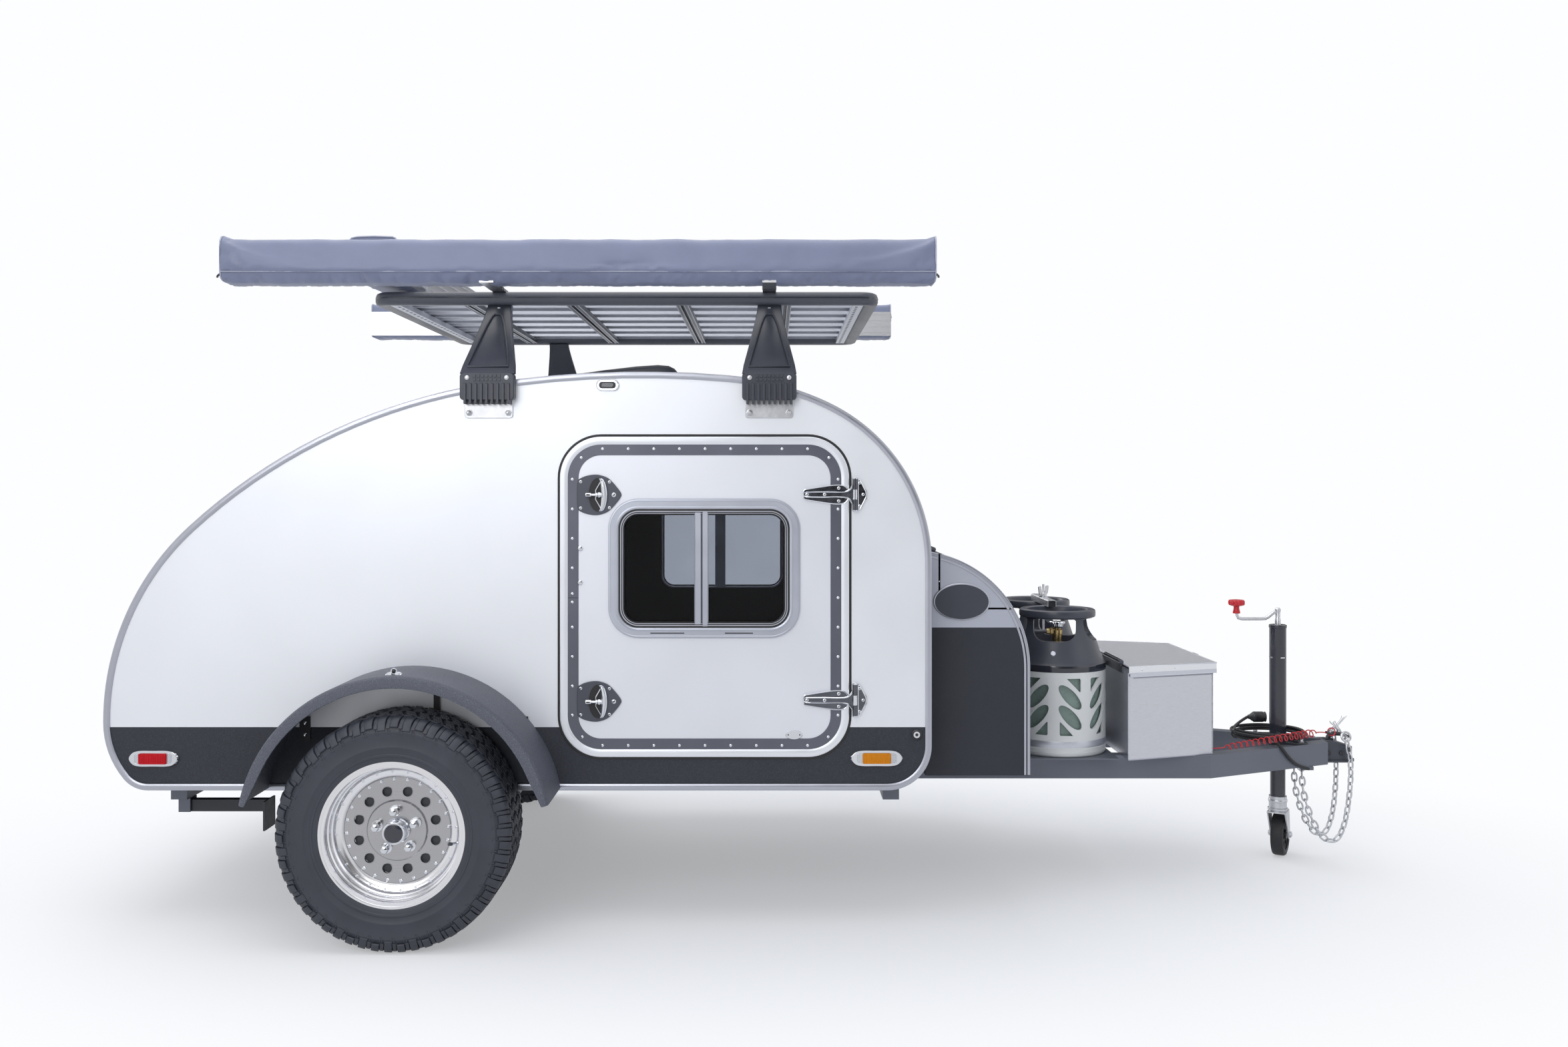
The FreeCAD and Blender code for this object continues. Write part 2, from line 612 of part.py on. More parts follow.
def axle_beam():
    """Torsion axle: square beam under the rails, trailing arms, spindles and backing plates."""
    half = BEAM_SIZE / 2
    top = RAIL_TOP_Z - RAIL_H
    beam = box(BEAM_X - half, BEAM_X + half, -BEAM_HALF_W, BEAM_HALF_W, top - BEAM_SIZE, top)
    arm_y = BEAM_HALF_W
    beam_z = top - half
    arm_run = V(-BEAM_X, 0, TYRE_R - beam_z)
    side = V(-arm_run.z, 0, arm_run.x).normalize() * ARM_R
    front, back = V(BEAM_X, arm_y, beam_z), V(0, arm_y, TYRE_R)
    web = Part.Face(Part.makePolygon([front + side, back + side, back - side, front - side,
                                      front + side])).extrude(V(0, ARM_T, 0))
    plate_y = WHEEL_Y + RIM_W / 2 - DISC_DEPTH - DISC_T - DRUM_W - BACKPLATE_T - 5
    pieces = [web, rod(front, Y_AXIS, ARM_R, ARM_T), rod(back, Y_AXIS, ARM_R, ARM_T),
              rod((0, arm_y, TYRE_R), Y_AXIS, SPINDLE_R, plate_y + DRUM_W - arm_y),
              rod((0, plate_y, TYRE_R), Y_AXIS, DRUM_R, BACKPLATE_T)]
    knuckle = union(pieces)
    return union([beam, knuckle, mirrored(knuckle)])


def tyre():
    """Plain carcass of the left tyre."""
    half, tread, inner = TYRE_W / 2, TREAD_W / 2, RIM_SEAT_R + RUN_GAP
    bead = RIM_W / 2 - RIM_WALL - 1
    bulge, upper, shoulder = TYRE_R - 70, TYRE_R - 36, TYRE_R - 9
    side = [(bead, inner), (bead, RIM_LIP_R + 1), (bead + 3, RIM_LIP_R + 6), (half, bulge),
            (half - 3, upper), (tread + 8, shoulder), (tread, TYRE_R)]
    points = [(-y, radius) for y, radius in side] + side[::-1]
    return turned(points, V(0, WHEEL_Y, TYRE_R), Y_AXIS)


def wheel_circle(count, pitch_r, radius, y0, y1, first=90.0):
    """Round bars on a circle about the left wheel's axis."""
    bars = []
    for i in range(count):
        angle = math.radians(first + 360.0 * i / count)
        spot = (pitch_r * math.cos(angle), y0, TYRE_R + pitch_r * math.sin(angle))
        bars.append(rod(spot, Y_AXIS, radius, y1 - y0))
    return bars


def rim():
    """Left rim: lipped barrel, dished disc with round holes, raised centre, lugs and cap."""
    half = RIM_W / 2
    face = half - DISC_DEPTH
    points = [(-half, RIM_SEAT_R - RIM_WALL), (-half, RIM_LIP_R), (-half + RIM_WALL, RIM_LIP_R),
              (-half + RIM_WALL, RIM_SEAT_R), (half - RIM_WALL, RIM_SEAT_R),
              (half - RIM_WALL, RIM_LIP_R), (half, RIM_LIP_R), (half, RIM_SEAT_R - RIM_WALL),
              (face, RIM_SEAT_R - RIM_WALL), (face, DISC_BOSS_R), (face + DISC_BOSS_H, DISC_BOSS_R - 4),
              (face + DISC_BOSS_H, CAP_R), (face + CAP_H, CAP_R - 2), (face + CAP_H, 0),
              (face - DISC_T, 0), (face - DISC_T, RIM_SEAT_R - RIM_WALL)]
    centre = V(0, WHEEL_Y, TYRE_R)
    body = turned(points, centre, Y_AXIS)
    y_face = WHEEL_Y + face
    holes = wheel_circle(VENT_HOLE_COUNT, VENT_HOLE_PITCH_R, VENT_HOLE_R, y_face - 2 * DISC_T, y_face + 10,
                         first=90.0 + 180.0 / VENT_HOLE_COUNT)
    lugs = wheel_circle(LUG_COUNT, LUG_PITCH_R, LUG_R, y_face, y_face + LUG_H)
    return union([body.cut(Part.makeCompound(holes))] + lugs)


def hub():
    """Left brake drum behind the rim's disc, with the bore that runs on the spindle."""
    y1 = WHEEL_Y + RIM_W / 2 - DISC_DEPTH - DISC_T
    drum = rod((0, y1 - DRUM_W, TYRE_R), Y_AXIS, DRUM_R, DRUM_W)
    return drum.cut(rod((0, y1 - DRUM_W - 1, TYRE_R), Y_AXIS, SPINDLE_R + RUN_GAP, DRUM_W - 4))


def fender():
    """Left arched fender with a turned-down outer lip."""
    tip = math.radians(FENDER_TIP_ANGLE)

    def band(outer, inner, y0, y1):
        def ring(radius):
            return [V(radius * math.cos(a), 0, TYRE_R + radius * math.sin(a))
                    for a in (tip, math.pi / 2, math.pi - tip)]
        far, near = ring(outer), ring(inner)
        return slab(outline([Part.Arc(*far).toShape(), Part.makeLine(far[2], near[2]),
                             Part.Arc(*near[::-1]).toShape(), Part.makeLine(near[0], far[0])]), y0, y1)
    top = band(FENDER_R, FENDER_R - FENDER_T, BODY_WIDTH / 2, FENDER_OUT_Y)
    lip = band(FENDER_R, FENDER_R - FENDER_LIP, FENDER_OUT_Y - FENDER_T, FENDER_OUT_Y)
    return union([top, lip])


# ---------------------------------------------------------------- body shell

INNER_HALF_W = BODY_WIDTH / 2 - WALL_T
FLOOR_TOP_Z = RAIL_TOP_Z + FLOOR_T
FAR = 5000.0


def door_opening():
    return rounded_rect(DOOR_X0, DOOR_X1, DOOR_Z0, DOOR_Z1, DOOR_R)


def side_wall():
    wall = slab(body_outline(0), INNER_HALF_W, BODY_WIDTH / 2)
    return wall.cut(slab(door_opening(), INNER_HALF_W - 1, BODY_WIDTH / 2 + 1))


def floor_panel():
    layer = box(-FAR, FAR, -FAR, FAR, RAIL_TOP_Z, FLOOR_TOP_Z)
    return slab(body_outline(0), -INNER_HALF_W, INNER_HALF_W).common(layer)


def shell(half_width):
    """The curved skin between the side walls, all round the outline."""
    outer = slab(body_outline(0), -half_width, half_width)
    return outer.cut(slab(body_outline(SHELL_T), -half_width - 1, half_width + 1))


def roof_panel():
    skin = shell(INNER_HALF_W).common(box(HATCH_PIN_X + HATCH_GAP / 2, FAR, -FAR, FAR,
                                          BODY_CURVE_START_Z, FAR))
    vent_mid = (VENT_X0 + VENT_X1) / 2
    hole = box(vent_mid - VENT_HOLE_HALF, vent_mid + VENT_HOLE_HALF, -VENT_HOLE_HALF, VENT_HOLE_HALF,
               BODY_CURVE_START_Z, FAR)
    return skin.cut(hole)


def end_panels():
    """Front panel behind the nose box, and the sill under the hatch."""
    skin = shell(INNER_HALF_W)
    front = skin.common(box(BODY_FRONT_X - FRONT_CORNER_R, FAR, -FAR, FAR,
                            FLOOR_TOP_Z, BODY_CURVE_START_Z))
    sill = skin.common(box(-FAR, 0, -FAR, FAR, FLOOR_TOP_Z, HATCH_BOTTOM_Z - HATCH_GAP))
    return Part.makeCompound([front, sill])


def hatch_pin():
    z, slope = roof_at(HATCH_PIN_X)
    normal = V(-math.sin(slope), 0, math.cos(slope))
    return V(HATCH_PIN_X, 0, z) + normal * BARREL_R, normal


def hatch_hinges():
    pin, normal = hatch_pin()
    forward = V(normal.z, 0, -normal.x)
    return [hinge(pin, Y_AXIS, HATCH_HINGE_L, (forward, normal, HATCH_LEAF),
                  (forward * -1, normal, HATCH_LEAF), start, LEAF_SINK) for start in HATCH_HINGE_YS]


def hatch():
    keep = box(-FAR, HATCH_PIN_X - HATCH_GAP / 2, -FAR, FAR, HATCH_BOTTOM_Z, FAR)
    skin = shell(INNER_HALF_W - HATCH_GAP).common(keep)
    return union([skin] + [moving for _, moving in hatch_hinges()])


def galley_cabinet():
    """Bulkheads, counter and cupboard behind the bed, up to the hatch."""
    room = slab(body_outline(SHELL_T + RUN_GAP), -INNER_HALF_W, INNER_HALF_W)
    under_hatch = slab(body_outline(SHELL_T + HATCH_INSIDE_GAP), -INNER_HALF_W, INNER_HALF_W)

    def sheet(x0, x1, z0, z1, limit):
        return limit.common(box(x0, x1, -FAR, FAR, z0, z1))
    pieces = [
        sheet(BULKHEAD_X, BULKHEAD_X + PLY_T, COUNTER_Z - PLY_T, FAR, room),
        sheet(COUNTER_REAR_X, BULKHEAD_X, COUNTER_Z - PLY_T, COUNTER_Z, under_hatch),
        sheet(FOOTWELL_X - PLY_T, FOOTWELL_X, FLOOR_TOP_Z, COUNTER_Z - PLY_T, under_hatch),
        sheet(COUNTER_REAR_X, COUNTER_REAR_X + PLY_T, FLOOR_TOP_Z, COUNTER_Z - PLY_T, under_hatch),
        sheet(CUPBOARD_REAR_X, BULKHEAD_X, CUPBOARD_Z, CUPBOARD_Z + PLY_T, under_hatch),
        sheet(CUPBOARD_REAR_X, CUPBOARD_REAR_X + PLY_T, CUPBOARD_Z, FAR, under_hatch),
    ]
    return union(pieces)


def mattress():
    return box(MATTRESS_X0, MATTRESS_X1, -MATTRESS_HALF_W, MATTRESS_HALF_W,
               FLOOR_TOP_Z, FLOOR_TOP_Z + MATTRESS_T)


# ---------------------------------------------------------------- doors (left side)

def door_pin():
    return V(DOOR_PIN_X, BODY_WIDTH / 2 + DOOR_PROUD + BARREL_R, 0)


def plate_corners(z):
    """What comes off a door hinge's wall plate above and below its blunt point."""
    near, far, half = DOOR_PIN_X + BARREL_R + 1, DOOR_PIN_X + DOOR_PLATE_L + 1, DOOR_HINGE_H / 2 + 1
    return [Part.Face(Part.makePolygon([
        V(near, 0, z + sign * half), V(far, 0, z + sign * half), V(far, 0, z + sign * DOOR_PLATE_TIP),
        V(near, 0, z + sign * half)])).extrude(V(0, BODY_WIDTH, 0)) for sign in (1, -1)]


def door_hinges():
    """Strap hinges of the left door: the leaf on the wall is packed out to the door's face."""
    pairs = []
    for z in DOOR_HINGE_ZS:
        pin = door_pin() + V(0, 0, z)
        fixed, moving = hinge(pin, Z_AXIS, DOOR_HINGE_H, (X_AXIS, Y_AXIS, DOOR_PLATE_L),
                              (X_AXIS * -1, Y_AXIS, DOOR_STRAP_L), -DOOR_HINGE_H / 2)
        packer = box(DOOR_PIN_X + BARREL_R + 1, DOOR_PIN_X + DOOR_PLATE_L, BODY_WIDTH / 2,
                     BODY_WIDTH / 2 + DOOR_PROUD, z - DOOR_HINGE_H / 2, z + DOOR_HINGE_H / 2)
        plate = union([fixed, packer]).cut(Part.makeCompound(plate_corners(z)))
        pairs.append((plate, moving))
    return pairs


def window_opening():
    return rounded_rect(WINDOW_X0 + WINDOW_RIM, WINDOW_X1 - WINDOW_RIM, WINDOW_Z0 + WINDOW_RIM,
                        WINDOW_Z1 - WINDOW_RIM, WINDOW_R - WINDOW_RIM)


def window_sleeve():
    rim_left = WINDOW_RIM - WINDOW_SLEEVE_T
    return rounded_rect(WINDOW_X0 + rim_left, WINDOW_X1 - rim_left, WINDOW_Z0 + rim_left,
                        WINDOW_Z1 - rim_left, WINDOW_R - rim_left)


def door_panel():
    leaf = rounded_rect(DOOR_X0 + DOOR_GAP, DOOR_X1 - DOOR_GAP, DOOR_Z0 + DOOR_GAP,
                        DOOR_Z1 - DOOR_GAP, DOOR_R - DOOR_GAP)
    face_y = BODY_WIDTH / 2 + DOOR_PROUD
    return slab(leaf, INNER_HALF_W, face_y).cut(slab(window_sleeve(), INNER_HALF_W - 1, face_y + 1))


def window_frame():
    """Flange on the door's face, sleeve through the door, and the middle post."""
    face_y = BODY_WIDTH / 2 + DOOR_PROUD
    flange = slab(rounded_rect(WINDOW_X0, WINDOW_X1, WINDOW_Z0, WINDOW_Z1, WINDOW_R),
                  face_y, face_y + WINDOW_FLANGE_T)
    sleeve = slab(window_sleeve(), INNER_HALF_W, face_y)
    ring = union([flange, sleeve]).cut(slab(window_opening(), INNER_HALF_W - 1, face_y + WINDOW_FLANGE_T + 1))
    post = box(MULLION_X0, MULLION_X1, face_y - WALL_T / 2, face_y, WINDOW_Z0 + WINDOW_RIM - 2,
               WINDOW_Z1 - WINDOW_RIM + 2)
    return union([ring, post])


def window_glass():
    y1 = BODY_WIDTH / 2 + DOOR_PROUD - WALL_T / 4
    pane = slab(window_opening(), y1 - GLASS_T, y1)
    return pane.cut(box(MULLION_X0, MULLION_X1, y1 - 2 * GLASS_T, y1 + GLASS_T, 0, FAR))


def door_hardware():
    """Hinge straps, the two latches, two bolt heads and a blank plate on the left door."""
    face_y = BODY_WIDTH / 2 + DOOR_PROUD
    length, height, thick = LATCH_SIZE
    pieces = [moving for _, moving in door_hinges()]
    for z in LATCH_ZS:
        left, radius = LATCH_X - length / 2, height / 2
        bow_x = LATCH_X + length / 2 - radius
        paddle = rounded_rect(LATCH_X - length / 3, LATCH_X + length / 3, z - PADDLE_H / 2,
                              z + PADDLE_H / 2, PADDLE_H / 3)
        pieces.append(union([box(left, bow_x, face_y, face_y + thick, z - radius, z + radius),
                             rod((bow_x, face_y, z), Y_AXIS, radius, thick),
                             slab(paddle, face_y + thick, face_y + 3 * thick)]))
    for z in DOOR_BOLT_ZS:
        pieces.append(rod((DOOR_BOLT_X, face_y, z), Y_AXIS, 8, 6))
    x, z, length, height = BADGE_PLATE
    pieces.append(slab(rounded_rect(x - length / 2, x + length / 2, z - height / 2, z + height / 2,
                                    height / 2 - 1), face_y, face_y + 3))
    return Part.makeCompound(pieces)


def hinge_leaves():
    """Every hinge leaf that is fixed to the body or a box."""
    door = [fixed for fixed, _ in door_hinges()]
    pieces = door + [mirrored(leaf) for leaf in door]
    pieces += [fixed for fixed, _ in hatch_hinges()]
    pieces += [nose_hinge()[0], box_hinge()[0], vent_hinge()[0]]
    return Part.makeCompound(pieces)


# ---------------------------------------------------------------- nose box

def nose_outline(inset):
    """Side outline of the nose box, moved in by inset."""
    rear, front, bottom = BODY_FRONT_X + inset, NOSE_FRONT_X - inset, RAIL_TOP_Z + inset
    centre_x = NOSE_FRONT_X - NOSE_R
    radius = NOSE_R - inset
    lean = math.acos((rear - centre_x) / radius)
    arc = [V(centre_x + radius * math.cos(a), 0, NOSE_ARC_Z + radius * math.sin(a))
           for a in (0, lean / 2, lean)]
    corners = [V(front, 0, NOSE_ARC_Z), V(front, 0, bottom), V(rear, 0, bottom), arc[2]]
    lines = [Part.makeLine(a, b) for a, b in zip(corners, corners[1:])]
    return outline(lines[::-1] + [Part.Arc(*arc).toShape()])


def nose_shell():
    outer = slab(nose_outline(0), -NOSE_HALF_W, NOSE_HALF_W)
    return outer.cut(slab(nose_outline(NOSE_T), -NOSE_HALF_W + NOSE_T, NOSE_HALF_W - NOSE_T))


def nose_box():
    gap_x = BODY_FRONT_X + NOSE_STRIP
    cut = box(gap_x, FAR, -FAR, FAR, NOSE_LID_Z - NOSE_GAP, FAR)
    return nose_shell().cut(cut)


def nose_lean():
    """Angle from vertical of the nose box's arc where the lid begins."""
    x = BODY_FRONT_X + NOSE_STRIP + NOSE_GAP / 2
    return math.asin((x - NOSE_FRONT_X + NOSE_R) / NOSE_R)


def nose_pin():
    reach = NOSE_R + BARREL_R
    return V(NOSE_FRONT_X - NOSE_R + reach * math.sin(nose_lean()), 0,
             NOSE_ARC_Z + reach * math.cos(nose_lean()))


def nose_hinge():
    normal = V(math.sin(nose_lean()), 0, math.cos(nose_lean()))
    forward = V(normal.z, 0, -normal.x)
    return hinge(nose_pin(), Y_AXIS, NOSE_HINGE_L, (forward * -1, normal, NOSE_LEAF),
                 (forward, normal, NOSE_LEAF), -NOSE_HINGE_L / 2, LEAF_SINK)


def nose_box_lid():
    keep = box(BODY_FRONT_X + NOSE_STRIP + NOSE_GAP, FAR, -FAR, FAR, NOSE_LID_Z, FAR)
    return union([nose_shell().common(keep), nose_hinge()[1]])


# ---------------------------------------------------------------- tongue box

def box_plan(grow, z0, z1, rear_grow=0.0):
    """Trapezoid plan of the tongue box, grown at the sides and front."""
    rear, front = BOX_X0 - rear_grow, BOX_X1 + grow
    half_rear, half_front = BOX_HALF_REAR + grow, BOX_HALF_FRONT + grow
    return polygon([(rear, -half_rear, z0), (front, -half_front, z0), (front, half_front, z0),
                    (rear, half_rear, z0)]).extrude(V(0, 0, z1 - z0))


def tongue_box():
    outer = box_plan(0, RAIL_TOP_Z, BOX_TOP_Z)
    return outer.cut(box_plan(-BOX_T, RAIL_TOP_Z + BOX_T, BOX_TOP_Z + 1, -BOX_T))


def box_pin():
    return V(BOX_X0 - BARREL_R, 0, BOX_LID_Z + BARREL_R)


def box_hinge():
    """Corner hinge: one leaf on the box's rear face, the other on top of the lid."""
    down = BARREL_R + BOX_LID_Z - BOX_TOP_Z + BOX_LEAF
    return hinge(box_pin(), Y_AXIS, BOX_HINGE_L, (Z_AXIS * -1, X_AXIS * -1, down),
                 (X_AXIS, Z_AXIS, BOX_LEAF + BARREL_R), -BOX_HINGE_L / 2)


def tongue_box_lid():
    grow = BOX_LID_GAP + BOX_T
    tray = box_plan(grow, BOX_LID_Z - BOX_LID_SKIRT, BOX_LID_Z)
    hollow = box_plan(BOX_LID_GAP, BOX_LID_Z - BOX_LID_SKIRT - 1, BOX_LID_Z - BOX_T, BOX_T)
    width, depth, height = BOX_LATCH
    latch = box(BOX_X1 + grow, BOX_X1 + grow + depth, -width / 2, width / 2,
                BOX_LID_Z - height, BOX_LID_Z - BOX_T)
    return union([tray.cut(hollow), latch, box_hinge()[1]])


# ---------------------------------------------------------------- gas bottles

BOTTLE_BASE_Z = RAIL_TOP_Z + TRAY_T


def gas_bottles():
    return both_sides(rod((BOTTLE_X, BOTTLE_Y, BOTTLE_BASE_Z), Z_AXIS, BOTTLE_R, BOTTLE_H))


def bottle_collars():
    """Dark collar: band, sloped shoulder and a guard ring with four hand windows."""
    inner = COLLAR_R - COLLAR_WALL
    collar = turned([(BOTTLE_TOP_Z, 0), (BOTTLE_TOP_Z, BOTTLE_R), (COLLAR_BAND_Z, BOTTLE_R),
                     (COLLAR_NECK_Z, COLLAR_R), (COLLAR_TOP_Z, COLLAR_R), (COLLAR_TOP_Z, inner),
                     (COLLAR_WELL_Z, inner), (COLLAR_WELL_Z, 0)], V(BOTTLE_X, BOTTLE_Y, 0), Z_AXIS)
    width, z0, z1 = COLLAR_WINDOW
    windows = [box(BOTTLE_X - BOTTLE_R, BOTTLE_X + BOTTLE_R, BOTTLE_Y - width / 2,
                   BOTTLE_Y + width / 2, z0, z1),
               box(BOTTLE_X - width / 2, BOTTLE_X + width / 2, BOTTLE_Y - BOTTLE_R,
                   BOTTLE_Y + BOTTLE_R, z0, z1)]
    return both_sides(collar.cut(union(windows)))


def gas_fittings():
    """Valves with handwheels, the clamp rod with its bar, and the regulator."""
    valve = union([
        rod((BOTTLE_X, BOTTLE_Y, COLLAR_WELL_Z), Z_AXIS, VALVE_R, VALVE_TOP_Z - COLLAR_WELL_Z),
        rod((BOTTLE_X, BOTTLE_Y, VALVE_TOP_Z), Z_AXIS, HANDWHEEL_R, HANDWHEEL_T),
        rod((VALVE_OUTLET_X, BOTTLE_Y, VALVE_OUTLET_Z), X_AXIS, OUTLET_R, BOTTLE_X - VALVE_OUTLET_X)])
    length, width, height = CLAMP_BAR
    clamp = union([
        rod((CLAMP_ROD_X, 0, BOTTLE_BASE_Z), Z_AXIS, CLAMP_ROD_R, CLAMP_ROD_TOP_Z - BOTTLE_BASE_Z),
        box(CLAMP_ROD_X - length / 2, CLAMP_ROD_X + length / 2, -width / 2, width / 2,
            COLLAR_TOP_Z, COLLAR_TOP_Z + height),
        rod((CLAMP_ROD_X, 0, COLLAR_TOP_Z + height), Z_AXIS, 3 * CLAMP_ROD_R, 2 * CLAMP_ROD_R)])
    depth, width, height = REGULATOR
    regulator = box(NOSE_FRONT_X, NOSE_FRONT_X + depth, -width / 2, width / 2,
                    REGULATOR_Z - height / 2, REGULATOR_Z + height / 2)
    return Part.makeCompound([valve, mirrored(valve), clamp, regulator])


# ---------------------------------------------------------------- rack and awnings

def rack_frame():
    """Rim of the platform rack, rounded at the corners."""
    def ring(inset):
        face = rounded_rect(RACK_X0 + inset, RACK_X1 - inset, -RACK_HALF_W + inset,
                            RACK_HALF_W - inset, RACK_R - inset)
        return face.rotated(V(0, 0, 0), X_AXIS, 90).translated(V(0, 0, RACK_Z0))
    height = V(0, 0, RACK_Z1 - RACK_Z0)
    return ring(0).extrude(height).cut(ring(RACK_RIM).extrude(height))


def rack_slats():
    """Lengthwise slats on crossbars, inside the rim."""
    half = RACK_HALF_W - RACK_RIM
    slat_half = half - (RACK_R - RACK_RIM)
    z1 = RACK_Z1 - SLAT_DROP
    pitch = (2 * slat_half - SLAT_W) / (SLAT_COUNT - 1)
    pieces = []
    for i in range(SLAT_COUNT):
        y = -slat_half + i * pitch
        pieces.append(box(RACK_X0 + RACK_RIM, RACK_X1 - RACK_RIM, y, y + SLAT_W, z1 - SLAT_T, z1))
    for x in RACK_BAR_XS:
        pieces.append(box(x - BAR_W / 2, x + BAR_W / 2, -half, half, z1 - SLAT_T - BAR_T, z1 - SLAT_T))
    return union(pieces)


def rack_legs():
    """Two left legs: a plate on the wall, a foot block and a leaning tapered leg."""
    pieces = []
    plate_w, plate_t = LEG_PLATE
    plate_z0, plate_z1 = LEG_PLATE_ENDS
    wall = BODY_WIDTH / 2
    foot_y = wall + plate_t

    def ring(x, width, y, z):
        half = width / 2
        return Part.makePolygon([V(x - half, y, z), V(x + half, y, z), V(x + half, y + LEG_T, z),
                                 V(x - half, y + LEG_T, z), V(x - half, y, z)])
    for x in LEG_XS:
        plate = box(x - plate_w / 2, x + plate_w / 2, wall, foot_y, plate_z0, plate_z1)
        foot = box(x - LEG_FOOT_W / 2, x + LEG_FOOT_W / 2, foot_y, foot_y + LEG_T, LEG_FOOT_Z, LEG_KNEE_Z)
        leg = Part.makeLoft([ring(x, LEG_FOOT_W, foot_y, LEG_KNEE_Z), ring(x, LEG_TOP_W, LEG_TOP_Y, RACK_Z0)],
                            True, True)
        pieces.append(union([plate, foot, leg]))
    return Part.makeCompound(pieces + [mirrored(piece) for piece in pieces])


def side_awning():
    """Rolled awning bag on the left, outside its back plate."""
    section = rounded_rect(AWNING_Y0, AWNING_Y1, AWNING_Z0, AWNING_Z1, AWNING_R)
    return slab(section, 0, AWNING_X1 - AWNING_X0).rotated(V(0, 0, 0), Z_AXIS, 90).mirror(
        V(0, 0, 0), X_AXIS).translated(V(AWNING_X0, 0, 0))


def rear_awning():
    section = rounded_rect(REAR_AWNING_X0, REAR_AWNING_X1, REAR_AWNING_Z0, REAR_AWNING_Z1, AWNING_R)
    return slab(section, -REAR_AWNING_L / 2, REAR_AWNING_L / 2)


def awning_mounts():
    """Aluminium back plates of the awnings and the brackets that hold them on the rack."""
    pieces = []
    back = box(AWNING_X0, AWNING_X1, AWNING_Y0 - AWNING_BACK_T, AWNING_Y0, AWNING_Z0, AWNING_Z1 - AWNING_R)
    arms = [box(x - BRACKET_W / 2, x + BRACKET_W / 2, RACK_HALF_W - RACK_RIM, AWNING_Y1 - AWNING_R,
                RACK_Z1, RACK_Z1 + BRACKET_T) for x in LEG_XS]
    side = union([back] + arms)
    pieces += [side, mirrored(side)]
    rear = [box(REAR_AWNING_X1, REAR_AWNING_X1 + REAR_BACK_T, -REAR_AWNING_L / 2,
                REAR_AWNING_L / 2, REAR_AWNING_Z0, REAR_AWNING_Z1 - AWNING_R)]
    front = REAR_AWNING_X1 + REAR_BACK_T
    for y in (-REAR_BRACKET_Y, REAR_BRACKET_Y):
        y0, y1 = y - BRACKET_W / 2, y + BRACKET_W / 2
        rear.append(box(RACK_X0 + RACK_RIM / 2, front + BRACKET_T, y0, y1, RACK_Z1, RACK_Z1 + BRACKET_T))
        rear.append(box(front, front + BRACKET_T, y0, y1, RACK_Z1, REAR_AWNING_Z1 - AWNING_R))
    pieces.append(union(rear))
    return Part.makeCompound(pieces)


# ---------------------------------------------------------------- roof vent

def vent_base():
    block = box(VENT_X0, VENT_X1, -VENT_HALF_W, VENT_HALF_W, BODY_CURVE_START_Z, VENT_BASE_Z)
    mid = (VENT_X0 + VENT_X1) / 2
    hole = box(mid - VENT_HOLE_HALF, mid + VENT_HOLE_HALF, -VENT_HOLE_HALF, VENT_HOLE_HALF,
               BODY_CURVE_START_Z, VENT_BASE_Z)
    return block.cut(hole).cut(slab(body_outline(0), -VENT_HALF_W - 1, VENT_HALF_W + 1))


def vent_pin():
    return V(VENT_X1 + BARREL_R, 0, (VENT_BASE_Z + VENT_LID_Z0) / 2)


def vent_hinge():
    """At the front edge; the leaf on the base lies on its front face."""
    return hinge(vent_pin(), Y_AXIS, VENT_HINGE_L, (Z_AXIS * -1, X_AXIS, VENT_LEAF),
                 (Z_AXIS, X_AXIS, VENT_LEAF), -VENT_HINGE_L / 2)


def vent_lid():
    """Domed cover, sloped to the rear, hollow underneath."""
    def dome(inset):
        half = VENT_HALF_W + VENT_LID_OVER - inset
        x0, x1 = VENT_X0 - VENT_LID_OVER + inset, VENT_X1 - inset
        low, top = VENT_LID_Z0 - inset, VENT_LID_Z1 - inset
        face = polygon([(x0, 0, low), (x1, 0, low), (x1, 0, low + 30 - inset), (x1 - 60, 0, top),
                        (x1 - 130, 0, top), (x0, 0, low + 18 - inset)])
        return slab(face, -half, half)
    return union([dome(0).cut(dome(VENT_LID_T)), vent_hinge()[1]])


# ---------------------------------------------------------------- lamps

def side_lamp(lamp):
    x, z, length, height, depth = lamp
    face = rounded_rect(x - length / 2, x + length / 2, z - height / 2, z + height / 2, height / 3)
    return slab(face, BODY_WIDTH / 2, BODY_WIDTH / 2 + depth)


def lamps_amber():
    return both_sides(side_lamp(AMBER_LAMP))


def lamps_red():
    """Side markers at the rear and tail lamps on the sill."""
    width, height, depth = TAIL_LAMP
    middle = (FLOOR_TOP_Z + HATCH_BOTTOM_Z) / 2
    block = box(-FAR, 0, TAIL_LAMP_Y - width / 2, TAIL_LAMP_Y + width / 2,
                middle - height / 2, middle + height / 2)
    outer = slab(body_outline(-depth), TAIL_LAMP_Y - width / 2, TAIL_LAMP_Y + width / 2)
    tail = block.common(outer).cut(slab(body_outline(0), 0, FAR))
    pieces = [side_lamp(RED_LAMP), tail]
    return Part.makeCompound(pieces + [mirrored(piece) for piece in pieces])


# ---------------------------------------------------------------- jack and caster

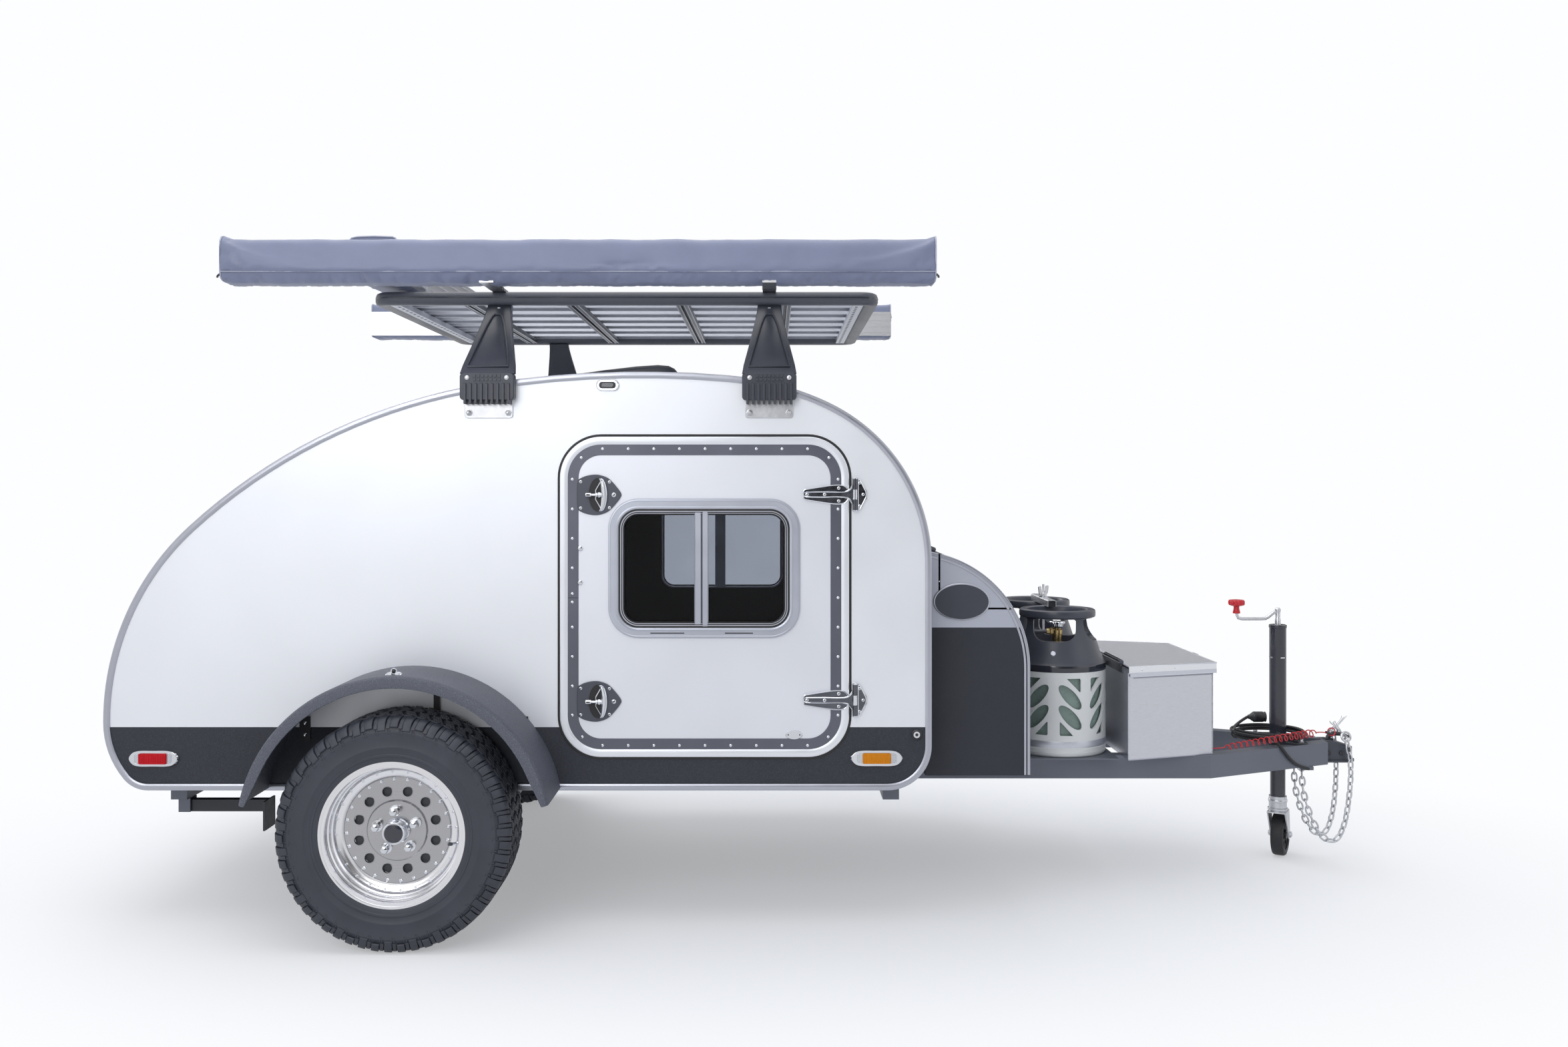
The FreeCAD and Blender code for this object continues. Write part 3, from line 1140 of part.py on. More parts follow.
def jack_tube():
    """Outer tube with its flange plate on the rails and a cap."""
    length, width, thick = JACK_PLATE
    tube_body = rod((JACK_X, 0, JACK_BOTTOM_Z), Z_AXIS, JACK_TUBE_R, JACK_TOP_Z - JACK_BOTTOM_Z)
    plate = box(JACK_X - length / 2, JACK_X + length / 2, -width / 2, width / 2,
                RAIL_TOP_Z, RAIL_TOP_Z + thick)
    bore = rod((JACK_X, 0, JACK_BOTTOM_Z - 1), Z_AXIS, JACK_LEG_R + RUN_GAP, JACK_TOP_Z - JACK_BOTTOM_Z - 9)
    return union([tube_body, plate]).cut(bore)


def jack_crank():
    arm, _, _ = tube(CRANK_ROUTE, CRANK_R)
    top_z = CRANK_ROUTE[0][2]
    knob_x, _, knob_z = CRANK_ROUTE[-1]
    return union([arm,
                  rod((JACK_X, 0, JACK_TOP_Z), Z_AXIS, 1.6 * CRANK_R, top_z + CRANK_R - JACK_TOP_Z),
                  rod((knob_x, 0, knob_z - 9), Z_AXIS, 2 * CRANK_R, 28),
                  rod((knob_x, 0, knob_z + 19), Z_AXIS, 28, 20)])


def jack_leg():
    """Inner tube, with the pin that the caster swivels on."""
    leg = rod((JACK_X, 0, COLLAR_Z1 + RUN_GAP), Z_AXIS, JACK_LEG_R, JACK_LEG_TOP_Z - COLLAR_Z1)
    pin = rod((JACK_X, 0, COLLAR_Z1 - SWIVEL_PIN_L), Z_AXIS, SWIVEL_PIN_R, SWIVEL_PIN_L + 1)
    return union([leg, pin])


def swivelled(shape):
    return shape.rotated(V(JACK_X, 0, 0), Z_AXIS, CASTER_TURN)


def caster_fork():
    collar = rod((JACK_X, 0, COLLAR_Z0), Z_AXIS, SWIVEL_R, COLLAR_Z1 - COLLAR_Z0)
    hole = rod((JACK_X, 0, COLLAR_Z1 - SWIVEL_PIN_L - 1), Z_AXIS, SWIVEL_PIN_R + RUN_GAP, SWIVEL_PIN_L + 2)
    inner = CASTER_W / 2 + FORK_GAP
    outer = inner + FORK_T
    axle_x = JACK_X + CASTER_TRAIL
    back_x = JACK_X - SWIVEL_R - FORK_BACK
    crown = box(back_x, axle_x, -outer, outer, COLLAR_Z0 - FORK_T, COLLAR_Z0)
    low = CASTER_R - FORK_END_R
    pieces = [collar.cut(hole), crown]
    for y in (-outer, inner):
        corners = [V(axle_x - FORK_END_R, y, CASTER_R), V(back_x, y, COLLAR_Z0), V(axle_x, y, COLLAR_Z0),
                   V(axle_x + FORK_END_R, y, CASTER_R)]
        sides = [Part.makeLine(a, b) for a, b in zip(corners, corners[1:])]
        end = Part.Arc(corners[3], V(axle_x, y, low), corners[0]).toShape()
        pieces.append(outline(sides + [end]).extrude(V(0, FORK_T, 0)))
    pieces.append(rod((axle_x, -outer - 4, CASTER_R), Y_AXIS, CASTER_PIN_R, 2 * outer + 8))
    return swivelled(union(pieces))


def caster_wheel():
    axle_x = JACK_X + CASTER_TRAIL
    half = CASTER_W / 2
    wheel = turned([(-half, CASTER_PIN_R + RUN_GAP), (-half, CASTER_R - 5), (-half + 5, CASTER_R),
                    (half - 5, CASTER_R), (half, CASTER_R - 5), (half, CASTER_PIN_R + RUN_GAP)],
                   V(axle_x, 0, CASTER_R), Y_AXIS)
    return swivelled(wheel)


# ---------------------------------------------------------------- chains and cables

def report(name, radii, length, diameter):
    print(name, "length", round(length), "bend radii in diameters",
          [round(radius / diameter, 1) for radius in radii])


def safety_chains():
    chain, radii, length = tube(CHAIN_ROUTE, CHAIN_R)
    report("safety chain", radii, length, 2 * CHAIN_R)
    return both_sides(chain)


def gas_hoses():
    hose, radii, length = tube(HOSE_ROUTE, HOSE_R)
    report("gas hose", radii, length, 2 * HOSE_R)
    return both_sides(hose)


def breakaway_cable():
    """Curly cable as one fat tube, with its plain ends."""
    parts = []
    for label, route, radius in (("breakaway tail", BREAKAWAY_TAIL, BREAKAWAY_LEAD_R),
                                 ("breakaway coil", BREAKAWAY_COIL, BREAKAWAY_R),
                                 ("breakaway lead", BREAKAWAY_LEAD, BREAKAWAY_LEAD_R)):
        piece, radii, length = tube(route, radius)
        report(label, radii, length, 2 * radius)
        parts.append(piece)
    return Part.makeCompound(parts)


def wiring_middle():
    """Middle of the coiled cable's ring, lying on the jack's plate."""
    return V(WIRING_X, 0, RAIL_TOP_Z + JACK_PLATE[2] + RUN_GAP + WIRING_BUNDLE_R)


def wiring_coil():
    return Part.makeTorus(WIRING_RING_R, WIRING_BUNDLE_R, wiring_middle(), Z_AXIS)


def wiring_lead():
    lead, radii, length = tube(WIRING_ROUTE, WIRING_R)
    report("wiring lead", radii, length, 2 * WIRING_R)
    return lead.cut(wiring_coil())


def wiring_plug():
    """Round trailer plug, resting on the coil."""
    middle = wiring_middle()
    start = (WIRING_X - PLUG_L / 2, WIRING_RING_R, middle.z + WIRING_BUNDLE_R + PLUG_R + RUN_GAP)
    return rod(start, X_AXIS, PLUG_R, PLUG_L)


# ---------------------------------------------------------------- export

# nodes made once
SINGLE = {
    "frame_rails": frame_rails, "frame_crossmembers": frame_crossmembers, "coupler": coupler,
    "axle_beam": axle_beam, "floor_panel": floor_panel, "roof_panel": roof_panel,
    "end_panels": end_panels, "galley_cabinet": galley_cabinet, "mattress": mattress,
    "nose_box": nose_box, "nose_box_lid": nose_box_lid, "tongue_box": tongue_box,
    "tongue_box_lid": tongue_box_lid, "gas_bottles": gas_bottles, "bottle_collars": bottle_collars,
    "gas_fittings": gas_fittings, "gas_hoses": gas_hoses, "rack_frame": rack_frame,
    "rack_slats": rack_slats, "rack_legs": rack_legs, "awning_rear": rear_awning,
    "awning_mounts": awning_mounts, "vent_base": vent_base, "vent_lid": vent_lid,
    "lamps_amber": lamps_amber, "lamps_red": lamps_red, "jack_tube": jack_tube,
    "jack_crank": jack_crank, "jack_leg": jack_leg, "caster_fork": caster_fork,
    "caster_wheel": caster_wheel, "safety_chains": safety_chains,
    "breakaway_cable": breakaway_cable, "wiring_coil": wiring_coil, "wiring_lead": wiring_lead,
    "wiring_plug": wiring_plug, "hinge_leaves": hinge_leaves, "hatch": hatch,
}
# nodes made on the left and mirrored to the right
PAIRED = {
    "side_wall": side_wall, "fender": fender, "tyre": tyre, "rim": rim, "hub": hub,
    "door_panel": door_panel, "window_frame": window_frame, "window_glass": window_glass,
    "door_hardware": door_hardware, "awning": side_awning, "stabilizer": stabilizer,
}


nodes = {name: make() for name, make in SINGLE.items()}
for name, make in PAIRED.items():
    nodes[name + "_left"] = make()
    nodes[name + "_right"] = mirrored(nodes[name + "_left"])

# the origin moves under the middle of the overall length
whole = Part.makeCompound(list(nodes.values())).optimalBoundingBox(False, True)
origin_shift = V(-(whole.XMin + whole.XMax) / 2, 0, 0)
print("origin shift", round(origin_shift.x, 3), "lowest point", round(whole.ZMin, 3))

os.makedirs("parts", exist_ok=True)
for name, shape in nodes.items():
    shape.translated(origin_shift).exportStep("parts/" + name + ".step")
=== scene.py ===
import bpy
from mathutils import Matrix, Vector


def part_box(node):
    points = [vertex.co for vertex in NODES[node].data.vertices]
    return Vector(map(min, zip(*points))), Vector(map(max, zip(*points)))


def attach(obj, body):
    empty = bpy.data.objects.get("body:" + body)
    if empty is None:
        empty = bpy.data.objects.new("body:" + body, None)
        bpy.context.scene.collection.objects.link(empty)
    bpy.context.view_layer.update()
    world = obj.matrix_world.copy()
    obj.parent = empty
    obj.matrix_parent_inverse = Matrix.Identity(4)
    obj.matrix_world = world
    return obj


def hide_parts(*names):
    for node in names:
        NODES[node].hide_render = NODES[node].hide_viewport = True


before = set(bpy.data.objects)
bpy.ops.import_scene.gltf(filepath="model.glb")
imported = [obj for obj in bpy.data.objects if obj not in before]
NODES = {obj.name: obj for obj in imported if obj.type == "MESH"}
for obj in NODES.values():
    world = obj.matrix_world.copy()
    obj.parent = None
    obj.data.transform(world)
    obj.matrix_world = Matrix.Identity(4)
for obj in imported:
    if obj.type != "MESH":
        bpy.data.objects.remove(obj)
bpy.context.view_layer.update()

import math
import random

import bmesh
import bpy
from mathutils import Matrix, Vector, noise

# Looks of the teardrop trailer.  Numbers here are millimetres with X = 0 at the wheel axis and
# +X to the hitch, Y = 0 the centre plane and Z = 0 the ground; spot() brings them to the frame.

RIM_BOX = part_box("rim_right")
AXLE_X = (RIM_BOX[0].x + RIM_BOX[1].x) / 2
MM = 0.001
SIDES = (("right", -1), ("left", 1))
WHEEL_Y, WHEEL_Z = 900.0, 332.0


def spot(x, y, z):
    """Point of the frame, in metres."""
    return Vector((AXLE_X + x * MM, y * MM, z * MM))


def new_object(name, data):
    obj = bpy.data.objects.new(name, data)
    bpy.context.collection.objects.link(obj)
    return obj


# ---------------------------------------------------------------- camera

def camera():
    """Level camera on the trailer's right, as in the photo."""
    data = bpy.data.cameras.new("camera")
    data.lens, data.sensor_width, data.clip_end = 31.72, 36.0, 100.0
    data.shift_x, data.shift_y = 0.0083, -0.0243
    obj = new_object("camera", data)
    obj.location = spot(1056, -4850, 1306)
    obj.rotation_euler = (math.radians(90), 0, 0)
    bpy.context.scene.camera = obj
    bpy.context.scene.view_settings.view_transform = "Standard"


camera()

# ---------------------------------------------------------------- materials

LOW, HIGH = 0.3, 0.7        # the part of its 0..1 range that a noise really fills


class Graph:
    """Short hand for building one node tree.  A source is another node's output socket."""

    def __init__(self, tree):
        self.tree = tree
        tree.nodes.clear()
        self.coord = self.add("TexCoord")

    def add(self, kind, sockets=(), **settings):
        node = self.tree.nodes.new("ShaderNode" + kind)
        for key, value in settings.items():
            setattr(node, key, value)
        return self.feed(node, dict(sockets))

    def feed(self, node, sockets):
        """Gives the named or numbered inputs their constants or sources."""
        for key, value in sockets.items():
            if isinstance(value, bpy.types.NodeSocket):
                self.tree.links.new(value, node.inputs[key])
            else:
                node.inputs[key].default_value = value
        return node

    def mapped(self, scale, location=(0.0, 0.0, 0.0)):
        return self.add("Mapping", {"Vector": self.coord.outputs["Object"], "Scale": scale,
                                    "Location": location}).outputs["Vector"]

    def noise(self, scale, detail=3.0, rough=0.55, stretch=None):
        place = self.mapped(stretch) if stretch else self.coord.outputs["Object"]
        return self.add("TexNoise", {"Vector": place, "Scale": scale, "Detail": detail,
                                     "Roughness": rough}).outputs["Fac"]

    def cells(self, scale):
        return self.add("TexVoronoi", {"Vector": self.coord.outputs["Object"],
                                       "Scale": scale}).outputs["Distance"]

    def ramp(self, source, stops):
        """Colour ramp; stops are (position, colour)."""
        node = self.add("ValToRGB", {"Fac": source})
        band = node.color_ramp
        while len(band.elements) < len(stops):
            band.elements.new(0.5)
        for element, (position, colour) in zip(band.elements, stops):
            element.position = position
            element.color = (*colour, 1.0)
        return node.outputs["Color"]

    def span(self, source, low, high, start=LOW, end=HIGH, **settings):
        """The texture's range start..end brought to low..high."""
        return self.add("MapRange", {"Value": source, "From Min": start, "From Max": end,
                                     "To Min": low, "To Max": high}, **settings).outputs["Result"]

    def math(self, operation, *inputs):
        return self.add("Math", enumerate(inputs), operation=operation).outputs["Value"]

    def length(self, vector):
        return self.add("VectorMath", {0: vector}, operation="LENGTH").outputs["Value"]

    def mix(self, factor, first, second):
        """Mix of two colour sources."""
        return self.add("Mix", {0: factor, 6: first, 7: second}, data_type="RGBA").outputs["Result"]

    def blend(self, factor, first, second):
        """Mix of two shaders."""
        return self.add("MixShader", {0: factor, 1: first, 2: second}).outputs["Shader"]


class Nodes(Graph):
    """One surface material."""

    def __init__(self, name):
        self.material = bpy.data.materials.new(name)
        self.material.use_nodes = True
        super().__init__(self.material.node_tree)
        self.skin = self.add("BsdfPrincipled")
        self.out = self.add("OutputMaterial", {"Surface": self.skin.outputs["BSDF"]})

    def tint(self, source, *stops):
        self.set(Base_Color=self.ramp(source, stops))

    def rough(self, source, low, high):
        self.set(Roughness=self.span(source, low, high))

    def bump(self, source, height, strength=1.0):
        """Bump of the given height in millimetres."""
        node = self.add("Bump", {"Height": source, "Strength": strength, "Distance": height * MM})
        self.set(Normal=node.outputs["Normal"])

    def set(self, **values):
        self.feed(self.skin, {key.replace("_", " "): value for key, value in values.items()})


def shade(colour, factor):
    """The colour lighter or darker by a factor."""
    return tuple(min(1.0, c * factor) for c in colour)


def plain(name, colour, rough, metal=0.0, vary=0.06, grain=(900.0, 0.03), cloud=3.0, coat=0.0,
          spread=0.06):
    """Solid finish: cloudy colour, uneven roughness and a fine grain (scale, height) in the surface."""
    n = Nodes(name)
    n.tint(n.noise(cloud, 4.0), (LOW, shade(colour, 1 - vary)), (HIGH, shade(colour, 1 + vary)))
    n.rough(n.noise(cloud * 4), rough - spread, rough + spread)
    scale, height = grain
    n.bump(n.noise(scale, 2.0), height)
    n.set(Metallic=metal)
    if coat:
        n.set(Coat_Weight=coat, Coat_Roughness=0.08)
    return n.material


def speckled(name, colour, fleck, rough=0.6, scale=900.0, height=0.25):
    """Powder coat or textured laminate: dark ground with small lighter flecks and a pebbled skin."""
    n = Nodes(name)
    n.tint(n.noise(scale * 0.8, 2.0, 0.7), (0.35, shade(colour, 0.75)), (0.55, colour), (0.72, fleck))
    n.rough(n.noise(2.0), rough - 0.08, rough + 0.08)
    n.bump(n.cells(scale), height, 0.8)
    return n.material


SILVER = (0.82, 0.835, 0.875)
CHARCOAL, CHARCOAL_FLECK = (0.021, 0.024, 0.035), (0.066, 0.071, 0.092)
# Near-black inner lining: painted shade, so the inside seen through the windows is dark.
SHADED_LINING = (0.008, 0.010, 0.017), (0.015, 0.017, 0.027)


def panel_skin(name, black_below, inside_y, tone=SILVER):
    """Silver laminate, black and pebbled under a level, and a near-black lining on the inner face: painted
    shade for the dark inside.
    """
    n = Nodes(name)
    place = n.add("SeparateXYZ", {"Vector": n.coord.outputs["Object"]}).outputs
    silver = n.ramp(n.noise(1.3), [(LOW, shade(tone, 0.96)), (HIGH, shade(tone, 1.03))])
    black = n.ramp(n.noise(700.0, 2.0, 0.7), [(0.35, shade(CHARCOAL, 0.7)), (0.55, CHARCOAL),
                                              (0.75, CHARCOAL_FLECK)])
    lining = n.ramp(n.noise(260.0, 2.0), list(zip((LOW, HIGH), SHADED_LINING)))
    low = n.math("LESS_THAN", place["Z"], black_below * MM)
    inner = n.math("LESS_THAN", n.math("ABSOLUTE", place["Y"]), inside_y * MM)
    dark = n.math("MAXIMUM", low, inner)
    rough = n.math("MULTIPLY_ADD", dark, 0.2, 0.42)
    n.set(Base_Color=n.mix(inner, n.mix(low, silver, black), lining),
          Roughness=n.math("ADD", rough, n.span(n.noise(5.0), -0.04, 0.05)),
          Metallic=n.math("MULTIPLY_ADD", dark, -0.55, 0.55))
    n.bump(n.math("MULTIPLY", n.cells(800.0), dark), 0.3, 0.7)
    return n.material


def brushed(name, colour, rough, stretch, metal=1.0):
    """Brushed metal: fine streaks along one direction."""
    n = Nodes(name)
    streak = n.noise(60.0, 5.0, 0.7, stretch)
    n.tint(streak, (LOW, shade(colour, 0.9)), (HIGH, shade(colour, 1.08)))
    n.rough(streak, rough - 0.07, rough + 0.09)
    n.bump(streak, 0.03)
    n.set(Metallic=metal)
    return n.material


# The disc's darker colour inside these radii is painted shade.
SHADED_DISC_EDGE = 0.150, 0.158        # radii between which the rim's dark disc turns to the bright lip


def turned_metal(name, colour, rough):
    """Machined rim: fine rings about the wheel's axis, and a disc darker than its lip, painted shade for the
    disc's darker reflection.
    """
    n = Nodes(name)
    radius = n.length(n.mapped((1.0, 0.0, 1.0), (-AXLE_X, 0.0, -WHEEL_Z * MM)))
    rings = n.add("TexNoise", {"W": radius, "Scale": 1400.0}, noise_dimensions="1D").outputs["Fac"]
    lip, disc = (n.ramp(rings, [(LOW, shade(colour, a)), (HIGH, shade(colour, b))])
                 for a, b in ((0.92, 1.05), (0.46, 0.64)))
    tangent = n.add("Tangent", direction_type="RADIAL", axis="Y").outputs["Tangent"]
    n.set(Base_Color=n.mix(n.span(radius, 0.0, 1.0, *SHADED_DISC_EDGE), disc, lip),
          Metallic=1.0, Anisotropic=0.6, Tangent=tangent)
    n.rough(rings, rough - 0.05, rough + 0.08)
    n.bump(rings, 0.03)
    return n.material


def glass(name, colour, rough, clear):
    """Tinted pane or lens; clear is the share of light it lets through."""
    n = Nodes(name)
    haze = n.noise(4.0)
    n.tint(haze, (LOW, shade(colour, 0.92)), (HIGH, colour))
    n.rough(haze, rough, rough + 0.012)
    n.set(Transmission_Weight=clear, IOR=1.2)
    return n.material


def cloth(name, colour, scale=1500.0, height=0.25, rough=0.75, vary=0.08, specular=0.3):
    """Woven fabric: two crossed waves of yarn over a cloudy dye."""
    n = Nodes(name)
    dye = n.noise(6.0, 4.0)
    n.tint(dye, (LOW, shade(colour, 1 - vary)), (HIGH, shade(colour, 1 + vary)))
    n.rough(dye, rough - 0.06, rough + 0.06)
    yarn = {"Vector": n.coord.outputs["Object"], "Scale": scale / 6.283, "Distortion": 0.4}
    waves = [n.add("TexWave", yarn, bands_direction=direction).outputs["Fac"] for direction in "XZ"]
    n.bump(n.math("MULTIPLY", *waves), height, 0.6)
    n.set(Specular_IOR_Level=specular)
    return n.material


def wood(name, pale, dark):
    """Plywood with its grain along Z."""
    n = Nodes(name)
    grain = n.noise(9.0, 6.0, 0.65, (1.0, 1.0, 14.0))
    n.tint(grain, (LOW, dark), (0.5, pale), (HIGH, shade(pale, 1.1)))
    n.rough(grain, 0.4, 0.55)
    n.bump(grain, 0.1)
    return n.material


M = {
    "wall": panel_skin("silver_wall", 591.0, 742.0),
    # The door's silver tone is a little darker than the wall's: painted shade on the same laminate.
    "door": panel_skin("silver_door", 0.0, 742.0, (0.77, 0.785, 0.835)),
    # The nose box's silver tone is set far darker than the wall's: painted shade on the same laminate.
    "nose": panel_skin("silver_nose_painted_shade", 870.0, 600.0, (0.50, 0.52, 0.60)),
    "door_rim": plain("silver_door_rim", (0.80, 0.815, 0.86), 0.36, 0.6, 0.03, (700.0, 0.02), 1.3),
    "silver": plain("silver_laminate", SILVER, 0.42, 0.55, 0.04, (500.0, 0.02), 1.3),
    "trim": plain("anodised_trim", (0.47, 0.485, 0.545), 0.32, 0.85, 0.05, (260.0, 0.004)),
    "gasket": plain("rubber_gasket", (0.012, 0.012, 0.014), 0.5, 0.0, 0.2, (1500.0, 0.04)),
    "band": plain("dark_band", (0.125, 0.13, 0.16), 0.36, 0.5, 0.12, (900.0, 0.01)),
    "plate": plain("latch_plate", (0.068, 0.072, 0.092), 0.42, 0.1, 0.1, (1100.0, 0.04)),
    # Hinge chrome with a near-black base colour: painted dark reflection.
    "chrome_painted_dark": plain("chrome_painted_dark", (0.13, 0.135, 0.16), 0.12, 1.0, 0.15, (900.0, 0.006), 20.0),
    "black": speckled("black_laminate", CHARCOAL, CHARCOAL_FLECK),
    "black_plastic": plain("black_plastic", (0.022, 0.022, 0.026), 0.38, 0.0, 0.15, (1300.0, 0.05)),
    "grained": speckled("grained_black", (0.028, 0.029, 0.034), (0.06, 0.06, 0.07), 0.55, 500.0, 0.6),
    "frame": plain("frame_grey", (0.15, 0.162, 0.195), 0.40, 0.35, 0.08, (700.0, 0.05), 4.0),
    "chrome": plain("chrome", (0.72, 0.74, 0.79), 0.09, 1.0, 0.05, (400.0, 0.003), 8.0, spread=0.04),
    "zinc": plain("zinc", (0.62, 0.63, 0.66), 0.34, 0.9, 0.12, (900.0, 0.05), 30.0),
    "box_side": brushed("box_side", (0.63, 0.645, 0.70), 0.34, (1.0, 1.0, 18.0)),
    "box_lid": brushed("box_lid", (0.84, 0.85, 0.90), 0.36, (1.0, 18.0, 18.0)),
    "aluminium": brushed("aluminium", (0.76, 0.77, 0.80), 0.34, (1.0, 1.0, 18.0)),
    "dark_steel": plain("dark_steel", (0.06, 0.062, 0.07), 0.45, 0.7, 0.12, (600.0, 0.06), 6.0),
    "gloss_black": plain("gloss_black", (0.030, 0.032, 0.044), 0.14, 0.0, 0.1, (500.0, 0.01), 5.0, 0.5),
    "tyre": plain("tyre_rubber", (0.036, 0.040, 0.053), 0.50, 0.0, 0.14, (700.0, 0.10), 9.0),
    "rim": turned_metal("machined_rim", (0.84, 0.84, 0.87), 0.18),
    "glass": glass("tinted_glass", (0.60, 0.63, 0.69), 0.0, 1.0),
    "birch": wood("birch_ply", (0.55, 0.40, 0.25), (0.40, 0.27, 0.15)),
    "bed": cloth("bed_fabric", (0.16, 0.17, 0.20)),
    "pvc": cloth("awning_pvc", (0.195, 0.218, 0.32), 900.0, 0.12, 0.46, 0.07, 0.5),
    "casing": plain("bottle_casing", (0.72, 0.73, 0.72), 0.42, 0.0, 0.04, (800.0, 0.05)),
    "core": plain("bottle_core", (0.20, 0.27, 0.24), 0.3, 0.0, 0.12, (500.0, 0.06), 12.0),
    "collar": plain("collar_plastic", (0.052, 0.057, 0.076), 0.34, 0.0, 0.1, (900.0, 0.08)),
    "red": plain("red_plastic", (0.55, 0.02, 0.03), 0.32, 0.0, 0.1),
    "red_lens": glass("red_lens", (0.72, 0.02, 0.03), 0.08, 0.35),
    "amber_lens": glass("amber_lens", (0.90, 0.33, 0.02), 0.08, 0.35),
    "clear_lens": glass("clear_lens", (0.85, 0.86, 0.88), 0.05, 0.8),
    "rubber": plain("black_rubber", (0.020, 0.020, 0.023), 0.6, 0.0, 0.15, (700.0, 0.1)),
    "hose": plain("hose_grey", (0.10, 0.105, 0.12), 0.5, 0.0, 0.12, (900.0, 0.06), 20.0),
    "frame_satin": plain("window_frame", (0.48, 0.50, 0.57), 0.36, 0.7, 0.06, (500.0, 0.006)),
    "leg": plain("leg_plastic", (0.045, 0.049, 0.065), 0.36, 0.0, 0.15, (1300.0, 0.05)),
    "fender": speckled("fender_texture", (0.095, 0.102, 0.13), (0.175, 0.183, 0.215), 0.48, 430.0, 1.5),
    "rack_black": speckled("rack_coat", (0.085, 0.091, 0.113), (0.125, 0.131, 0.157), 0.38, 900.0, 0.15),
    "slat": brushed("rack_slat", (0.62, 0.64, 0.70), 0.42, (1.0, 14.0, 14.0), 0.7),
    "pvc_pale": plain("awning_piping", (0.42, 0.44, 0.53), 0.45, 0.0, 0.05),
    "stitch": plain("awning_stitches", (0.17, 0.18, 0.25), 0.7, 0.0, 0.15, (2000.0, 0.1)),
    "brass": plain("brass", (0.55, 0.42, 0.20), 0.3, 1.0, 0.1, cloud=20.0),
}

# Finishes of the CAD nodes; * stands for right and left.
CAD_FINISH = {
    "frame": "frame_rails frame_crossmembers", "plate": "coupler", "black": "floor_panel",
    "wall": "side_wall_* end_panels", "silver": "roof_panel hatch", "birch": "galley_cabinet",
    "bed": "mattress", "nose": "nose_box nose_box_lid", "box_side": "tongue_box",
    "box_lid": "tongue_box_lid", "casing": "gas_bottles", "collar": "bottle_collars",
    "zinc": "gas_fittings jack_crank caster_fork safety_chains", "hose": "gas_hoses",
    "grained": "fender_* rack_frame", "aluminium": "rack_slats awning_mounts",
    "black_plastic": "rack_legs vent_base vent_lid wiring_plug", "pvc": "awning_* awning_rear",
    "amber_lens": "lamps_amber", "red_lens": "lamps_red", "gloss_black": "jack_tube jack_leg",
    "rubber": "caster_wheel wiring_coil wiring_lead", "red": "breakaway_cable",
    "chrome_painted_dark": "hinge_leaves", "tyre": "tyre_*", "rim": "rim_*", "door": "door_panel_*",
    "dark_steel": "axle_beam hub_* stabilizer_*", "frame_satin": "window_frame_*",
    "glass": "window_glass_*", "chrome": "door_hardware_*",
}


def finish_cad():
    """Gives every CAD node the finish it has where no finer piece stands for it."""
    for key, names in CAD_FINISH.items():
        for name in dict.fromkeys(n.replace("*", side) for n in names.split() for side, _ in SIDES):
            slots = NODES[name].material_slots
            for slot in slots:
                slot.material = M[key]
            if not slots:
                NODES[name].data.materials.append(M[key])


finish_cad()

# ---------------------------------------------------------------- stage and light

WHITE = (0.985, 0.99, 1.0, 1.0)
GLOW = (0.88, 0.93, 1.0, 1.0)
FLOOR_HALF = 60.0
POOL_X, POOL_REACH = 900, (3.0, 1.9)    # middle and half lengths (m) of the floor's shaded pool
# name, place, size (m), power (W)
LAMPS = (("overhead", (300, 0, 4600), (6.0, 4.0), 114.0), ("front", (-1100, -5200, 3000), (3.2, 2.6), 74.0),
         ("rear", (-1100, 5200, 3000), (3.2, 2.6), 74.0), ("bow", (5600, -2600, 3400), (3.0, 2.0), 11.0))


def ray_kinds(n):
    """The Light Path's outputs, and 1 for the eye, in gloss and through glass."""
    path = n.add("LightPath").outputs
    either = n.math("MAXIMUM", path["Is Camera Ray"], path["Is Glossy Ray"])
    return path, n.math("MAXIMUM", either, path["Is Transmission Ray"])


def floor():
    """Pale floor that fades to white away from the object and keeps its shadow near it."""
    n = Nodes("studio_floor")
    n.tint(n.noise(0.8, 2.0), (LOW, (0.885, 0.893, 0.93)), (HIGH, (0.895, 0.903, 0.935)))
    n.set(Roughness=0.75)
    n.bump(n.noise(120.0), 0.05)
    reach_x, reach_y = POOL_REACH
    away = n.length(n.mapped((1 / reach_x, 1 / reach_y, 0.0), (-spot(POOL_X, 0, 0).x / reach_x, 0.0, 0.0)))
    fade = n.span(away, 0.34, 1.0, 0.50, 1.20, interpolation_type="SMOOTHSTEP")
    path, seen = ray_kinds(n)
    strength = n.math("MULTIPLY_ADD", path["Is Glossy Ray"], -0.2, 1.0)
    white = n.add("Emission", {"Color": WHITE, "Strength": strength}).outputs["Emission"]
    surface = n.blend(n.math("MULTIPLY", fade, seen), n.skin.outputs["BSDF"], white)
    n.feed(n.out, {"Surface": surface})
    mesh = bpy.data.meshes.new("floor")
    mesh.from_pydata([(FLOOR_HALF * u, FLOOR_HALF * v, 0) for u, v in ((-1, -1), (1, -1), (1, 1), (-1, 1))],
                     [], [(0, 1, 2, 3)])
    mesh.materials.append(n.material)
    new_object("floor", mesh)


